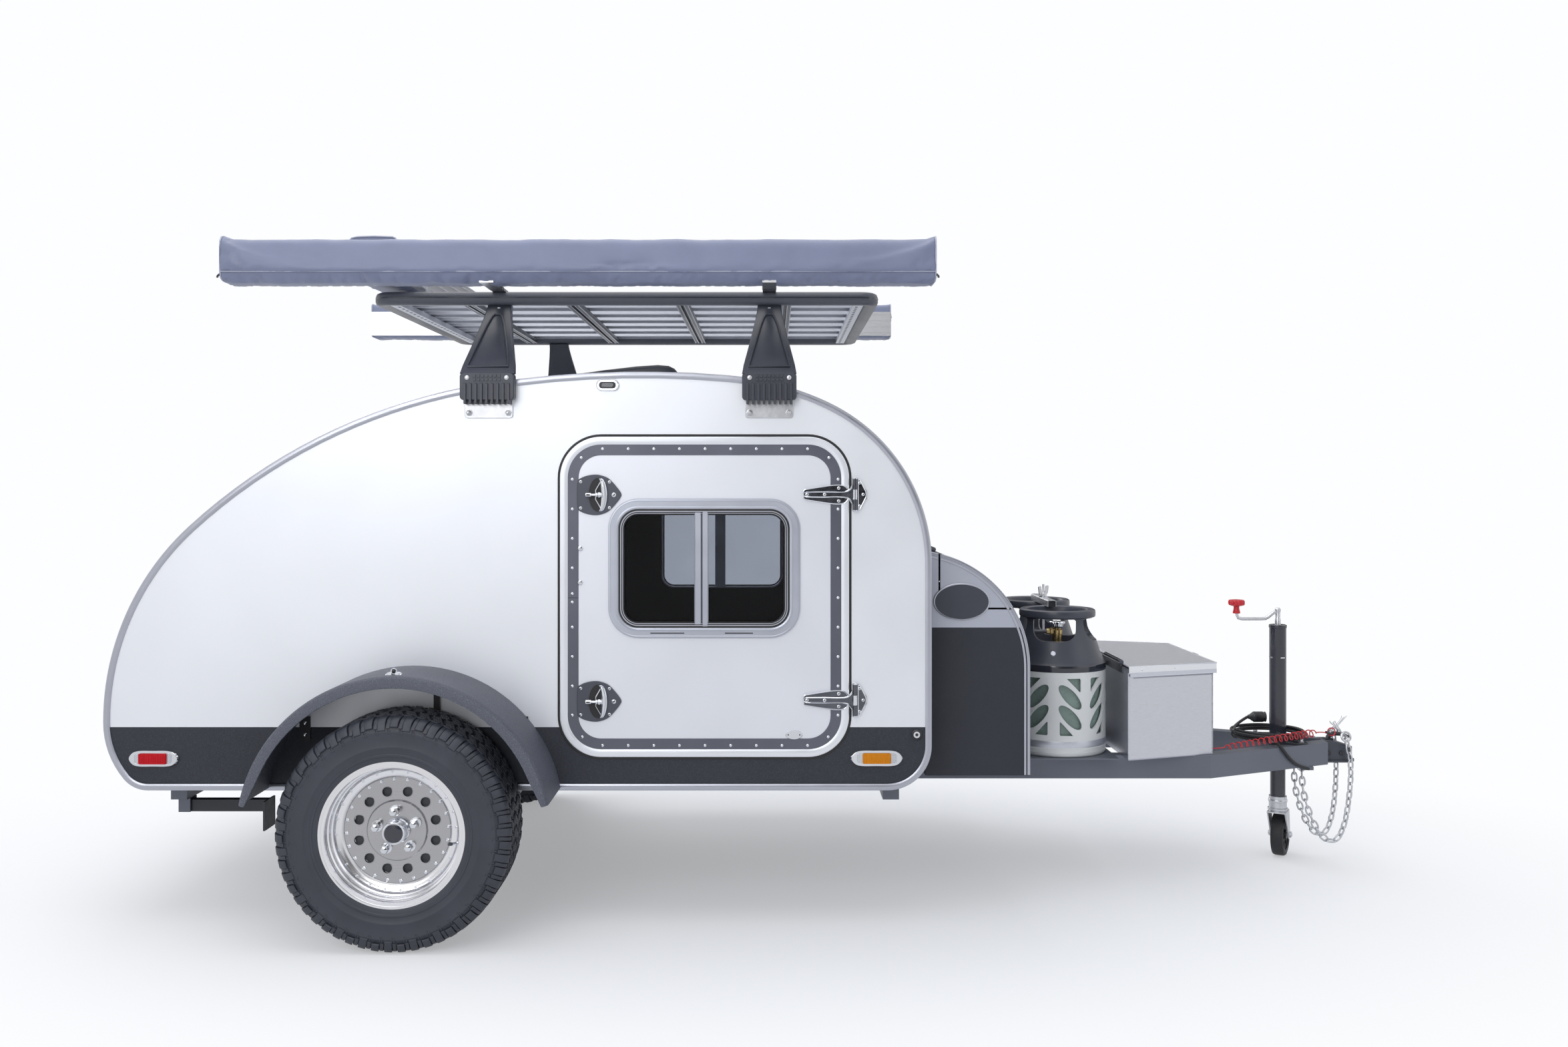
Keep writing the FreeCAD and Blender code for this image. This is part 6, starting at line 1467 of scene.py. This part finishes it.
def caster():
    """Caster's tyre, rim and bolts; local X runs from the swivel to the trailing axle."""
    axle = at(JACK_X, 0, 0, spin("Z", 60)) @ at(45, 0, 75)
    across = axle @ spin("X", -90)
    wheel = Shape()
    wheel.add(lathe([(54, -20), (66, -22), (72, -20), (74.6, -14), (75, -6), (75, 6), (74.6, 14), (72, 20),
                     (66, 22), (54, 20)], 56, ring=True), 0, across)
    wheel.add(lathe([(6.4, -22), (16, -22), (17, -10), (50, -7), (55, -18), (55, 18), (50, 7), (17, 10),
                     (16, 22), (6.4, 22)], 56, ring=True), 1, across)
    for i in range(8):      # spokes
        wheel.add(block(16, 52, -2.2, 2.2, -15, 15), 1, across @ spin("Z", 45 * i))
    piece("caster_wheel_detail", wheel, "caster_wheel", ["rubber", "black_plastic"],
          ["caster_wheel"])
    bolts = Shape()
    for _, side in SIDES:
        bolts.add(lathe([(11, 0), (11, 6), (9, 7.5), (6, 7.5), (6, 9)], 6), 0,
                  axle @ at(0, side * 31.4, 0, facing(side)))
    for profile in ([(30.6, 196), (32, 198), (32, 206), (30.6, 208)],
                    [(30.6, 168), (34, 170), (34, 176), (30.6, 178)]):
        bolts.add(lathe(profile, 40), 0, at(JACK_X, 0, 0))
    piece("caster_bolts", bolts, "caster", ["zinc"])


def coupler_parts():
    """Latch lever and pin on the coupler, eye bolts and the fan of wire hooks at the chains' top."""
    shape = Shape()
    shape.add(tube([(3004, 0, 410), (3012, 0, 426), (3030, 0, 436), (3058, 0, 434), (3084, 0, 424)],
                   [6, 8, 8, 7, 5], 10), 1)
    shape.add(block(2996, 3024, -14, 14, 404, 420), 1)
    shape.add(tube([(3008, -19, 412), (3008, 19, 412)], 4, 10))
    for _, side in SIDES:
        for x in (2995, 3040):
            boss(shape, [(8, 0), (8, 5), (6, 6.5)], 6, x, 375, side, 42, 1)
        shape.add(hoop([(3052 + 15 * c, side * (54.5 - 4 * s), 434 + 15 * s) for c, s in circle(24)], 4))
        shape.add(hoop([(2905 + 15 * c, side * 36, 330 + 15 * s) for c, s in circle(24)], 4.5))
    rng = random.Random(5)
    for _, side in SIDES:       # the two hooks' bundles of wire, crossed over the coupler
        for i in range(5):
            tilt = side * 0.74 + (i - 2) * 0.07 + rng.uniform(-0.03, 0.03)
            reach = Vector((math.sin(tilt), side * 0.05 * (i - 2), math.cos(tilt)))
            foot = Vector((3048 + rng.uniform(-3, 3), side * 50 + (i - 2) * 2.6, 438 + rng.uniform(-2, 2)))
            tip = foot + reach * rng.uniform(50, 64)
            kink = Vector((reach.z, 0, -reach.x)) * rng.uniform(-5, 5)
            shape.add(tube([foot - reach * 14, foot.lerp(tip, 0.5) + kink * 0.3, tip, tip + reach * 6 + kink],
                           1.3, 6))
    piece("coupler_fittings", shape, "trailer", ["zinc", "dark_steel"])


# ---------------------------------------------------------------- rack, legs and vent

RACK_X0, RACK_X1, RACK_HALF, RACK_Z0, RACK_Z1 = -170.0, 1388.0, 618.0, 1860.0, 1900.0
LEG_XS = (222.0, 1051.0)
SLATS, SLAT_W, SLOTS = 7, 92, 24
VENT_BARREL = 8.0


def rack():
    """Grooved rim of the rack, and its deck: slats, cross rails and slotted end members."""
    rim = Shape()
    plan = rounded(RACK_X0, RACK_X1, -RACK_HALF, RACK_HALF, 60.0, 10)
    section = [(0, 12), (0, 26), (4, 36), (12, 40), (30, 40), (40, 37), (47, 30), (48, 16), (40, 6), (28, 0),
               (12, 0), (3, 4)]
    groove = [(-0.6, 20), (-0.6, 23.5), (1, 23.5), (1, 20)]
    for skin, outline in enumerate((section, groove)):
        rim.add(loft([[(x - nx * d, y - ny * d, RACK_Z0 + h) for d, h in outline] for x, y, nx, ny in plan],
                     ring=True), skin)
    piece("rack_rim", rim, "trailer", ["rack_black", "gloss_black"], ["rack_frame"],
          angle=50)

    deck = Shape()
    top, inner = RACK_Z1 - 4.0, RACK_HALF - 48.0
    channel = [(0, 0), (92, 0), (92, -16), (86, -16), (86, -12.5), (89, -12.5), (89, -3), (62, -3), (62, -9),
               (60, -9), (60, -3), (32, -3), (32, -9), (30, -9), (30, -3), (3, -3), (3, -12.5), (6, -12.5),
               (6, -16), (0, -16)]
    pitch = (2 * (inner - 12) - SLAT_W) / (SLATS - 1)
    for i in range(SLATS):
        y = -(inner - 12) + i * pitch
        deck.add(loft([[(x, y + u, top + v) for u, v in channel] for x in (RACK_X0 + 44, RACK_X1 - 44)]))
    for x in (120.0, 440.0, 780.0, 1100.0):
        for s in (-1, 1):
            rail = [(s * 5, 0), (s * 20, 0), (s * 20, -3), (s * 17, -5), (s * 17, -15), (s * 5, -16)]
            deck.add(loft([[(x + u, y, top - 16 + v) for u, v in rail] for y in (-inner, inner)]), 1)
            for u in (18.2, 6.6):
                deck.add(block(x + s * u - 1.2, x + s * u + 1.2, -inner, inner, top - 33, top - 31.4))
        deck.add(block(x - 5, x + 5, -inner, inner, top - 22, top - 16), 1)
    for x, s in ((RACK_X0 + 62.0, 1), (RACK_X1 - 62.0, -1)):
        deck.add(block(x - 16, x + 16, -inner, inner, top - 33, top - 16))
        # The slots are thin near-black blocks under the end members: painted shade.
        for i in range(SLOTS):
            y = -inner + 40 + i * (2 * inner - 80) / (SLOTS - 1)
            deck.add(block(x + s * 3 - 4, x + s * 3 + 4, y - 9, y + 9, top - 33.4, top - 32.6), 2)
    piece("rack_deck", deck, "trailer", ["slat", "rack_black", "gasket"],
          ["rack_slats"])


def leg(shape, x, side):
    """Leaning leg: foot with ribs and a grid, tapered upright with a deep recess."""
    foot_z, knee_z, top_z = 1557.0, 1634.0, RACK_Z0
    foot_y, top_y = WALL_Y + 5.0, RACK_HALF - 43.0

    def lean(u, v, out):
        """Point on the leg's outer face; v runs 0..1 from knee to rack."""
        y = foot_y + (top_y - foot_y) * v + 30 + out
        return (x + u, side * y, knee_z + (top_z - knee_z) * v)
    plate(shape, (x - 71, x + 71, 1505, 1587), 8, 4, side, WALL_Y, foot_y, 1.0, 1)
    for u in (-58, 58):
        boss(shape, [(10.5, 0), (10.5, 2), (7.5, 2.5), (7.5, 9), (5, 11)], 6, x + u, 1521, side, foot_y, 1)
        boss(shape, [(4, 0), (4, 18), (3, 19)], 12, x + u, 1521, side, foot_y, 1)
    plate(shape, (x - 80, x + 80, foot_z, knee_z + 2), 10, 4, side, foot_y, foot_y + 30, 3.0)
    shape.add(loft([[lean(u, v, out) for u, out in ((-half, -30), (half, -30), (half, -3), (half - 4, 0),
                                                    (4 - half, 0), (-half, -3))]
                    for v, half in ((0.0, 80), (0.12, 76), (0.5, 56), (0.8, 42), (0.93, 37), (1.0, 36))]))
    recess = [(0.10, 60), (0.3, 50), (0.5, 38), (0.7, 26), (0.82, 16), (0.86, 8)]
    shape.add(hoop([lean(-u, v, 2.5) for v, u in recess] + [lean(u, v, 2.5) for v, u in recess[::-1]], 3.4))
    for i in range(7):     # grid block and comb of ribs
        for z in (knee_z - 22, knee_z - 11):
            shape.add(block(x - 40 + i * 12, x - 32 + i * 12, side * (foot_y + 29), side * (foot_y + 32.5),
                            z, z + 8))
    for i in range(9):
        u = x - 64 + i * 16
        rib = [(u + du, z) for du, z in ((-3.4, foot_z - 12), (3.4, foot_z - 12), (3.4, knee_z - 28),
                                         (-3.4, knee_z - 28))]
        pad(shape, rib, side, foot_y, foot_y + 36, 2.0)
    for u in (-58, 58):
        boss(shape, [(7, 0), (7, 2), (5, 3.4), (2, 3.8)], 16, x + u, knee_z - 12, side, foot_y + 30, 1)
    boss(shape, [(7, 0), (7, 6), (5, 7)], 6, x, top_z - 14, side, top_y + 33, 1)


def legs():
    shape = Shape()
    for _, side in SIDES:
        for x in LEG_XS:
            leg(shape, x, side)
    piece("rack_leg_detail", shape, "trailer", ["leg", "zinc"], ["rack_legs"], bevel=0.5)


def vent():
    """Smoked dome of the roof vent, low at its hinge and rounded at the front."""
    low, high = (Vector(in_mm(p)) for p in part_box("vent_lid"))
    high.x -= VENT_BARREL
    shape = Shape()
    shape.add(lathe([(VENT_BARREL / 2 - 0.2, -150), (VENT_BARREL / 2 - 0.2, 150)], 12), 1,
              at(high.x + VENT_BARREL / 2, 0, low.z, spin("X", 90)))
    loops = []
    for t, rise, narrow in ((0, 0.20, 14), (0.015, 0.26, 6), (0.05, 0.34, 1), (0.3, 0.50, 0),
                            (0.6, 0.66, 0), (0.8, 0.72, 0), (0.9, 0.68, 0), (0.955, 0.56, 2),
                            (0.985, 0.40, 7), (1, 0.24, 15)):
        half, tall = high.y - narrow, rise * (high.z - low.z)
        section = flat(rounded(-half, half, low.z, low.z + tall, min(13.0, tall * 0.45), 5))
        loops.append([(low.x + t * (high.x - low.x), y, z) for y, z in section])
    shape.add(loft(loops))
    piece("vent_dome", shape, "vent_lid", ["leg", "dark_steel"], ["vent_lid"], angle=50)


# ---------------------------------------------------------------- soft goods

# (outward, up) round the bag, and the seam that runs along its lower edge.
BAG_SECTION = [(0, 6), (6, 0.5), (60, 0), (104, 0), (120, 3), (130, 11), (133.5, 21), (135.4, 32),
               (136.5, 62), (135.4, 92), (131, 110), (120, 121), (104, 124.5), (60, 126), (8, 124),
               (0, 118)]
BAG_STEP, BAG_TALL, SEAM_UP = 9.0, 124, 21
CLOTH_FRAMES = 22


def resample(points, spacing):
    """Even points round a closed loop."""
    points = points + points[:1]
    total = sum((q - p).length for p, q in zip(points, points[1:]))
    count = round(total / spacing)
    found, gone, want = [], 0.0, 0.0
    for p, q in zip(points, points[1:]):
        reach = (q - p).length
        while want <= gone + reach + 1e-9 and len(found) < count:
            found.append(p.lerp(q, (want - gone) / reach))
            want += total / count
        gone += reach
    return found


def crumple(obj, pinned, slack, cap):
    """Cloth with some slack buckles between its seams; no point may move more than cap."""
    group = obj.vertex_groups.new(name="seams")
    group.add(pinned, 1.0, "REPLACE")
    cloth = obj.modifiers.new("cloth", "CLOTH")
    settings = cloth.settings
    settings.quality = 5
    settings.mass = 0.5
    settings.tension_stiffness = 25.0
    settings.compression_stiffness = 25.0
    settings.shear_stiffness = 12.0
    settings.bending_stiffness = 1.2
    settings.shrink_min = -slack
    settings.vertex_group_mass = "seams"
    settings.effector_weights.gravity = 0.5
    cloth.collision_settings.use_collision = False
    scene = bpy.context.scene
    for frame_number in range(1, CLOTH_FRAMES + 1):
        scene.frame_set(frame_number)
    done = obj.evaluated_get(bpy.context.evaluated_depsgraph_get()).to_mesh()
    for vertex, moved in zip(obj.data.vertices, done.vertices):
        step = moved.co - vertex.co
        if step.length > cap * MM:
            step *= cap * MM / step.length
        vertex.co += step
    obj.modifiers.clear()
    obj.vertex_groups.clear()
    scene.frame_set(1)


def wrinkle(u, a, b, seed):
    """Height of the folds at a point of the bag: long waves, fine ones and ridges, none at the seam."""
    if a <= 3:
        return 0.0
    w = Vector((u * 0.011, b * 0.008 + u * 0.0045, seed))
    fold = noise.noise(w) * 4.6 + noise.noise(w * 2.7) * 1.5
    ridge = noise.noise(Vector((u * 0.006 + b * 0.016, b * 0.005 - u * 0.001, seed + 4)))
    fold += (1 - abs(ridge) * 2.4) * 3.2
    fold *= 1 - math.exp(-((b - SEAM_UP) / 9.0) ** 2)
    return fold * min(1.0, a / 40)


def bag(name, place, length, scale, replaced, seed):
    """Awning bag: place(u, a, b) maps along, outward and up, in millimetres."""
    loop = resample([Vector((a * scale, b)) for a, b in BAG_SECTION], BAG_STEP)
    n = len(loop)
    middle = Vector((67.0 * scale, 62.0))
    stations = round(length / BAG_STEP)
    points, faces = [], []

    def gathered(p, pinch, flare):
        """Outward and up of a section's point, pulled in and spread as the ends are."""
        pull = pinch * 5.0 * (p.x > 20) * math.sin(math.pi * min(1, max(0, p.y / BAG_TALL)))
        return p.x - pull, middle.y + (p.y - middle.y) * flare

    def join(a, b):
        """Faces between two loops, by their first points' numbers."""
        faces.extend((a + j, a + (j + 1) % n, b + (j + 1) % n, b + j) for j in range(n))
    for i in range(stations + 1):
        u = length * i / stations
        end = min(u, length - u)
        for p in loop:
            a, b = gathered(p, math.exp(-end / 60.0), 1 + 0.05 * math.exp(-end / 18.0))
            outward = (p - middle).normalized() * wrinkle(u, *p, seed) * 0.55
            points.append(place(u, max(0, a + outward.x), b + outward.y))
    for i in range(stations):
        join(i * n, (i + 1) * n)
    for rim, u, sign in ((0, 0.0, 1), (stations * n, length, -1)):
        for share, dip in ((0.86, 3.5), (0.5, 6.0), (0.12, 6.5)):
            start = len(points)
            points += [place(u + sign * dip, *(middle + (p - middle) * share)) for p in loop]
            join(rim, start)
            rim = start
        faces.append(tuple(range(rim, rim + n)))
    mesh = solid_mesh(name, points, faces)
    mesh.materials.append(M["pvc"])
    obj = new_object(name, mesh)
    pinned = [i * n + j for i in range(stations + 1) for j, p in enumerate(loop)
              if p.x < 12 or abs(p.y - SEAM_UP) < 5 and p.x > 60 or i in (0, stations)]
    pinned += list(range((stations + 1) * n, len(points)))
    crumple(obj, pinned, 0.035, 7.0)
    mesh.shade_smooth()
    settle(obj, "trailer", [replaced])

    trim = Shape()
    for u in (1.0, length - 1.0):     # piped ends
        ends = [gathered(p, 1, 1.05) for p in loop]
        trim.add(hoop([place(u, max(0.5, a), b) for a, b in ends], 2.4, 6))
    seam = 134.0 * scale if scale != 1 else 134.2
    for up, sink in ((17.5, 1.2), (24.5, 0.0)):       # two rows of stitches along the lower seam
        for i in range(int(length / 8)):
            trim.add(tube([place(u, seam - sink, up) for u in (4 + i * 8, 9 + i * 8)], 0.7, 4), 1)
    trim.add(tube([place(u, seam, SEAM_UP) for u in (2, length - 2)], 1.5, 6))
    a, b = 62 * scale, 78.0
    for u, sign in ((0.0, -1), (length, 1)):        # a strap with its ring, and the zip's pull
        trim.add(tube([place(u + sign * 3, a, 112), place(u + sign * 7, a, b)], 2.2, 6), 2)
        trim.add(hoop([place(u + sign * 4, a + da, b + db)
                       for da, db in ((-9, 0), (9, 0), (9, -14), (-9, -14))], 2.6, 6), 2)
        trim.add(tube([place(u + sign * out, w * scale, up)
                       for out, w, up in ((1, 128, 14), (6, 131, 8), (7, 131, 3))], 3.2), 2)
    piece(name + "_trim", trim, "trailer", ["pvc_pale", "stitch", "black_plastic"])


def awnings():
    """Three bags on the rack, their rails, brackets and bolts."""
    for index, (name, side) in enumerate(SIDES):
        bag("awning_bag_" + name, lambda u, a, b, side=side: (-548 + u, side * (700 + a), 1907 + b),
            2085.0, 1.0, "awning_" + name, 3.0 + 5 * index)
    bag("awning_bag_rear", lambda u, a, b: (-85 - a, -640 + u, 1936 + b), 1280.0, 156 / 136.5,
        "awning_rear", 21.0)
    shape = Shape()
    for _, side in SIDES:
        for z in (1918, 1942, 1966, 1990):
            shape.add(block(-546, 1535, side * 683, side * 686, z, z + 9))
        for x in LEG_XS:
            for y in (628, 672):
                shape.add(lathe([(9, 0), (9, 2), (6.5, 3), (6.5, 8), (4, 9.5)], 6), 1, at(x, side * y, 1907))
            shape.add(block(x - 21, x + 21, side * 640, side * 700, 1900.5, 1908.2), 2)
            shape.add(block(x - 21.5, x + 21.5, side * 655, side * 662, 1900, 1909))
    for z in (1945, 1970, 1995, 2018):
        shape.add(block(-52.5, -49, -638, 638, z, z + 10))
    piece("awning_rails", shape, "trailer", ["aluminium", "zinc", "black_plastic"])


def mattress():
    """Quilted pad with tufted channels and a rounded side."""
    (x0, y0, z0), (x1, y1, z1) = (in_mm(p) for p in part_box("mattress"))
    wide, deep = x1 - x0, y1 - y0
    mx, my = (x0 + x1) / 2, (y0 + y1) / 2
    nx, ny = 90, 66
    outline = flat(rounded(x0, x1, y0, y1, 60, 8))
    loops = []
    for rise, inset in ((0, 6), (4, 1), (12, 0), (60, -2), (z1 - z0 - 14, 0), (z1 - z0 - 5, 5)):
        f, g = 1 - 2 * inset / wide, 1 - 2 * inset / deep
        loops.append([(mx + (x - mx) * f, my + (y - my) * g, z0 + rise) for x, y in outline])
    shape = Shape().add(loft(loops))
    grid = []
    for i in range(nx + 1):
        for j in range(ny + 1):
            x, y = x0 + 14 + (wide - 28) * i / nx, y0 + 14 + (deep - 28) * j / ny
            cx = abs(math.sin(math.pi * (x - x0) / (wide / 6)))
            cy = abs(math.sin(math.pi * (y - y0) / (deep / 4)))
            inside = 0 < i < nx and 0 < j < ny
            z = z1 - 12 + 10 * min(1, cx ** 0.4) * min(1, cy ** 0.4) if inside else z1 - 13
            grid.append((x, y, min(z, z1)))
    row = ny + 1
    faces = [(a, a + row, a + row + 1, a + 1) for i in range(nx) for a in range(i * row, i * row + ny)]
    under = len(grid)
    grid += [(x, y, z1 - 16) for x, y, _ in grid]
    faces += [tuple(under + k for k in face[::-1]) for face in faces]
    border = ([i * row for i in range(nx + 1)] + [nx * row + j for j in range(1, ny + 1)]
              + [i * row + ny for i in range(nx - 1, -1, -1)] + list(range(ny - 1, 0, -1)))
    faces += [(a, b, under + b, under + a) for a, b in zip(border, border[1:] + border[:1])]
    shape.add((grid, faces))
    obj = piece("mattress_pad", shape, "trailer", ["bed"], ["mattress"], angle=70)


for make in (body_trim, doors, hinge_plates, wheels, lamps, small_fittings, nose_trim, bottles, gas_fittings,
             hoses, wiring, breakaway, chain_links, box_details, jack_parts, caster, coupler_parts, rack,
             legs, vent, awnings, mattress):
    make()
